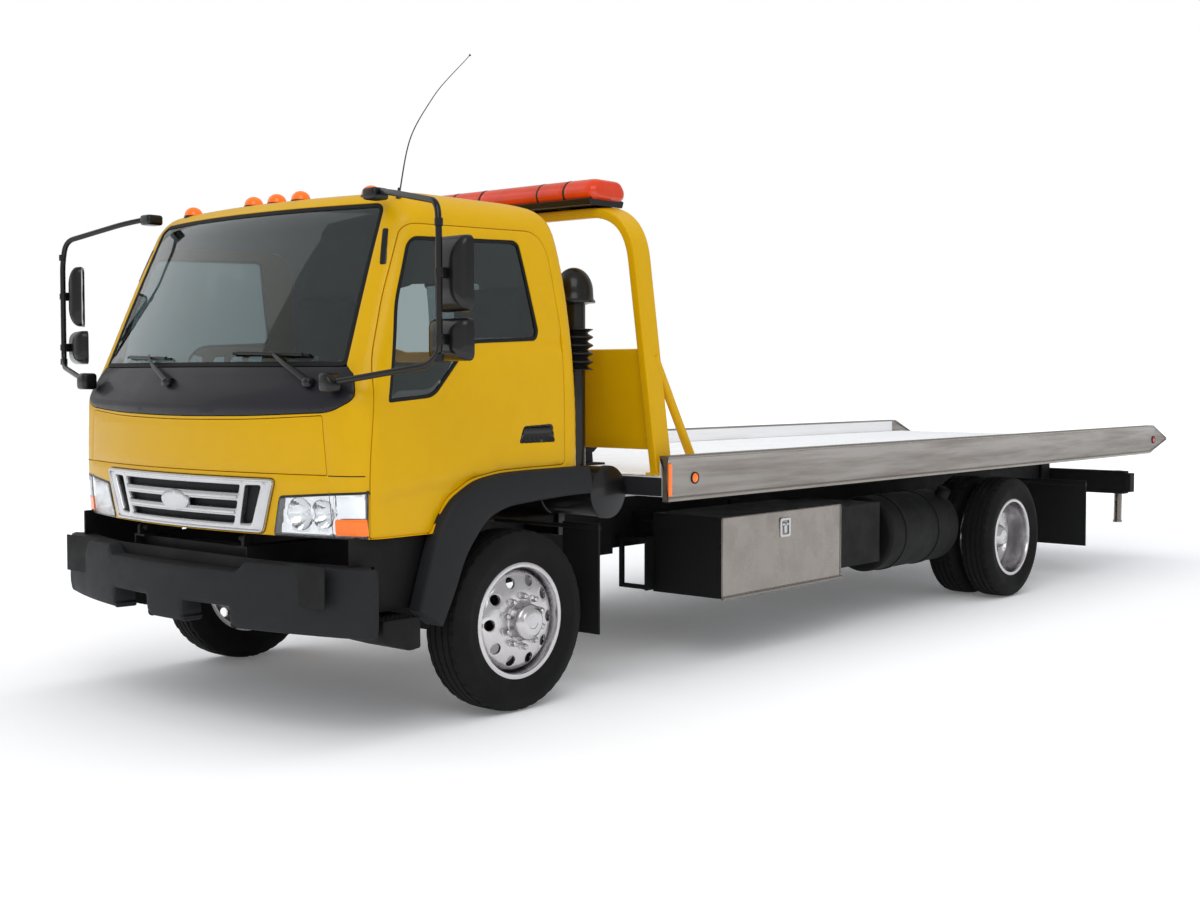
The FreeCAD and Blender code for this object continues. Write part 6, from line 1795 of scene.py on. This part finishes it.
# Finish of each CAD node, also of those that a piece stands for.
NODE_LOOKS = {
    "dark_paint": (
        "frame_rails frame_crossmembers battery_box toolbox_left toolbox_right lamp_beam entry_steps "
        "tilt_frame lift_barrels winch_frame fuel_tank"),
    "dark_plastic": "bumper fenders",
    "axle_iron": (
        "front_axle_beam leaf_springs rear_axle engine drive_line knuckle_left knuckle_right winch_drum"),
    "flap_rubber": "mud_flaps",
    "rod_chrome": "lift_rods",
    "deck_alloy": "bed_deck",
    "gloss_black": "aerial air_intake mirror_arms mirror_heads wipers",
    "amber_lens": "bed_lamps roof_lamps",
    "aluminium": "bed_rails",
    "cab_paint": "cab_shell door_left door_right front_panel headboard",
    "slate_band": "cowl_band",
    "interior": "dashboard steering_wheel",
    "glass": "door_glass_left door_glass_right rear_window windscreen",
    "bright_trim": "grille",
    "clear_lens": "headlamps",
    "bar_lens": "light_bar",
    "polished": "rim_front_left rim_front_right rims_rear_left rims_rear_right",
    "seat_cloth": "seats",
    "bright_sheet": "stand_tube toolbox_door_left toolbox_door_right",
    "tyre": "tyre_front_left tyre_front_right tyres_rear_left tyres_rear_right",
}


@dataclass
class Studio:
    """Pale floor, soft light and the camera of the photograph.

    Args:
        eye: camera place in metres.
        yaw: heading from +Y towards -X, radians.
        pitch: tilt below the horizon, radians.
        roll: turn about the view line, radians.
        lens: focal length in millimetres on a 36 mm sensor.
        shift: camera shift.
    """

    eye: tuple[float, float, float] = (5.7506, -7.8085, 1.4841)
    yaw: float = 0.6823
    pitch: float = 0.0389
    roll: float = 0.0012
    lens: float = 44.669
    shift: tuple[float, float] = (-0.05856, -0.01207)

    def build(self) -> None:
        """Makes camera, floor, world and lights."""
        scene = bpy.context.scene
        scene.view_settings.view_transform = "Standard"
        data = bpy.data.cameras.new("photo_camera")
        data.lens, data.sensor_width = self.lens, 36
        data.shift_x, data.shift_y = self.shift
        camera = bpy.data.objects.new("photo_camera", data)
        look = Vector((-math.sin(self.yaw) * math.cos(self.pitch), math.cos(self.yaw) * math.cos(self.pitch),
            -math.sin(self.pitch)))
        turn = look.to_track_quat("-Z", "Y").to_matrix() @ Matrix.Rotation(self.roll, 3, "Z")
        camera.matrix_world = Matrix.Translation(self.eye) @ turn.to_4x4()
        scene.collection.objects.link(camera)
        scene.camera = camera
        self.floor()
        self.world()
        self.light("key_panel", (6.5, -9, 8.5), 7, 340)
        self.light("fill_panel", (-8, -6, 6), 8, 100)
        self.light("top_panel", (0, 0.5, 10), 9, 330)

    def floor(self) -> None:
        """Plain white floor, lit and shadowed, with nothing but its colour."""
        material = bpy.data.materials.new("White floor paper")
        material.use_nodes = True
        tree, white = material.node_tree, linear("#FFFFFF")
        # seen by the camera, in gloss and through glass, the paper is lifted to white; it lights nothing
        path = add_node(tree, "ShaderNodeLightPath")
        first = math_node(tree, "MAXIMUM", path.outputs["Is Camera Ray"], path.outputs["Is Glossy Ray"])
        seen = math_node(tree, "MAXIMUM", first, path.outputs["Is Transmission Ray"])
        # the lift grows away from the truck, so that its soft shadow stays
        place = add_node(tree, "ShaderNodeTexCoord").outputs["Object"]
        away = add_node(tree, "ShaderNodeVectorMath", {"operation": "LENGTH"}, {0: place}).outputs["Value"]
        share = add_node(tree, "ShaderNodeMapRange", {"interpolation_type": "SMOOTHSTEP"},
            {"Value": away, "From Min": 4, "From Max": 13, "To Min": 0.1, "To Max": 0.55})
        lift = math_node(tree, "MULTIPLY", seen, share.outputs["Result"])
        fill_inputs(tree, tree.nodes["Principled BSDF"], {"Base Color": white, "Roughness": 0.9,
            "Specular IOR Level": 0, "Emission Strength": lift, "Emission Color": white})
        mesh = bpy.data.meshes.new("studio_floor")
        mesh.from_pydata([(-90, -90, -0.002), (90, -90, -0.002), (90, 90, -0.002), (-90, 90, -0.002)], [],
            [(0, 1, 2, 3)])
        mesh.materials.append(material)
        floor = bpy.data.objects.new("studio_floor", mesh)
        bpy.context.scene.collection.objects.link(floor)

    def world(self) -> None:
        """White to the camera and through glass, half of it in gloss, and a plain soft sky for the rest."""
        world = bpy.data.worlds.new("studio")
        bpy.context.scene.world = world
        world.use_nodes = True
        tree = world.node_tree
        tree.nodes.clear()
        path = add_node(tree, "ShaderNodeLightPath")
        seen = math_node(tree, "MAXIMUM", path.outputs["Is Camera Ray"], path.outputs["Is Transmission Ray"])
        soft, gloss, white = (add_node(tree, "ShaderNodeBackground", {},
            {"Color": linear(code), "Strength": power}).outputs[0]
            for code, power in (("#F4F7FC", 0.7), ("#FFFFFF", 0.5), ("#FFFFFF", 1)))
        first = add_node(tree, "ShaderNodeMixShader", {}, {0: path.outputs["Is Glossy Ray"], 1: soft, 2: gloss})
        both = add_node(tree, "ShaderNodeMixShader", {}, {0: seen, 1: first.outputs[0], 2: white})
        add_node(tree, "ShaderNodeOutputWorld", {}, {0: both.outputs[0]})

    def light(self, name: str, place: tuple[float, float, float], size: float, power: float) -> None:
        """One square soft box aimed at the truck's middle.

        Args:
            name: its name.
            place: where it hangs, in metres.
            size: length of its side.
            power: watts.
        """
        data = bpy.data.lights.new(name, "AREA")
        data.size, data.energy = size, power
        lamp = bpy.data.objects.new(name, data)
        # a panel straight overhead would lie on the glass and the roof as a white patch
        lamp.visible_glossy = name != "top_panel"
        lamp.location = place
        lamp.rotation_euler = (Vector((0, -1, 1)) - Vector(place)).to_track_quat("-Z", "Y").to_euler()
        bpy.context.scene.collection.objects.link(lamp)


def dress_nodes() -> None:
    """Gives each CAD node its finish."""
    for look, names in NODE_LOOKS.items():
        for name in names.split():
            materials = frame["nodes"][name].data.materials
            materials.clear()
            materials.append(finish(look))
            LOG.info("%s wears %s", name, FINISHES[look].name)


def main() -> None:
    """Builds the studio, then each sub-assembly in order."""
    logging.basicConfig(level=logging.INFO, format="%(name)s %(message)s")
    Studio().build()
    dress_nodes()
    cab = Cab()
    cab.build()
    CabFittings(cab.form).build()
    for side in Side:
        Wheel(1000, 0, f"wheel_front_{side.label}", (f"tyre_front_{side.label}",
            f"rim_front_{side.label}")).build(side)
        Wheel(1107, 4610, f"wheels_rear_{side.label}", (f"tyres_rear_{side.label}", f"rims_rear_{side.label}"),
            850).build(side)
    Bed().build()
    Chassis().build()


if __name__ == "__main__":
    main()
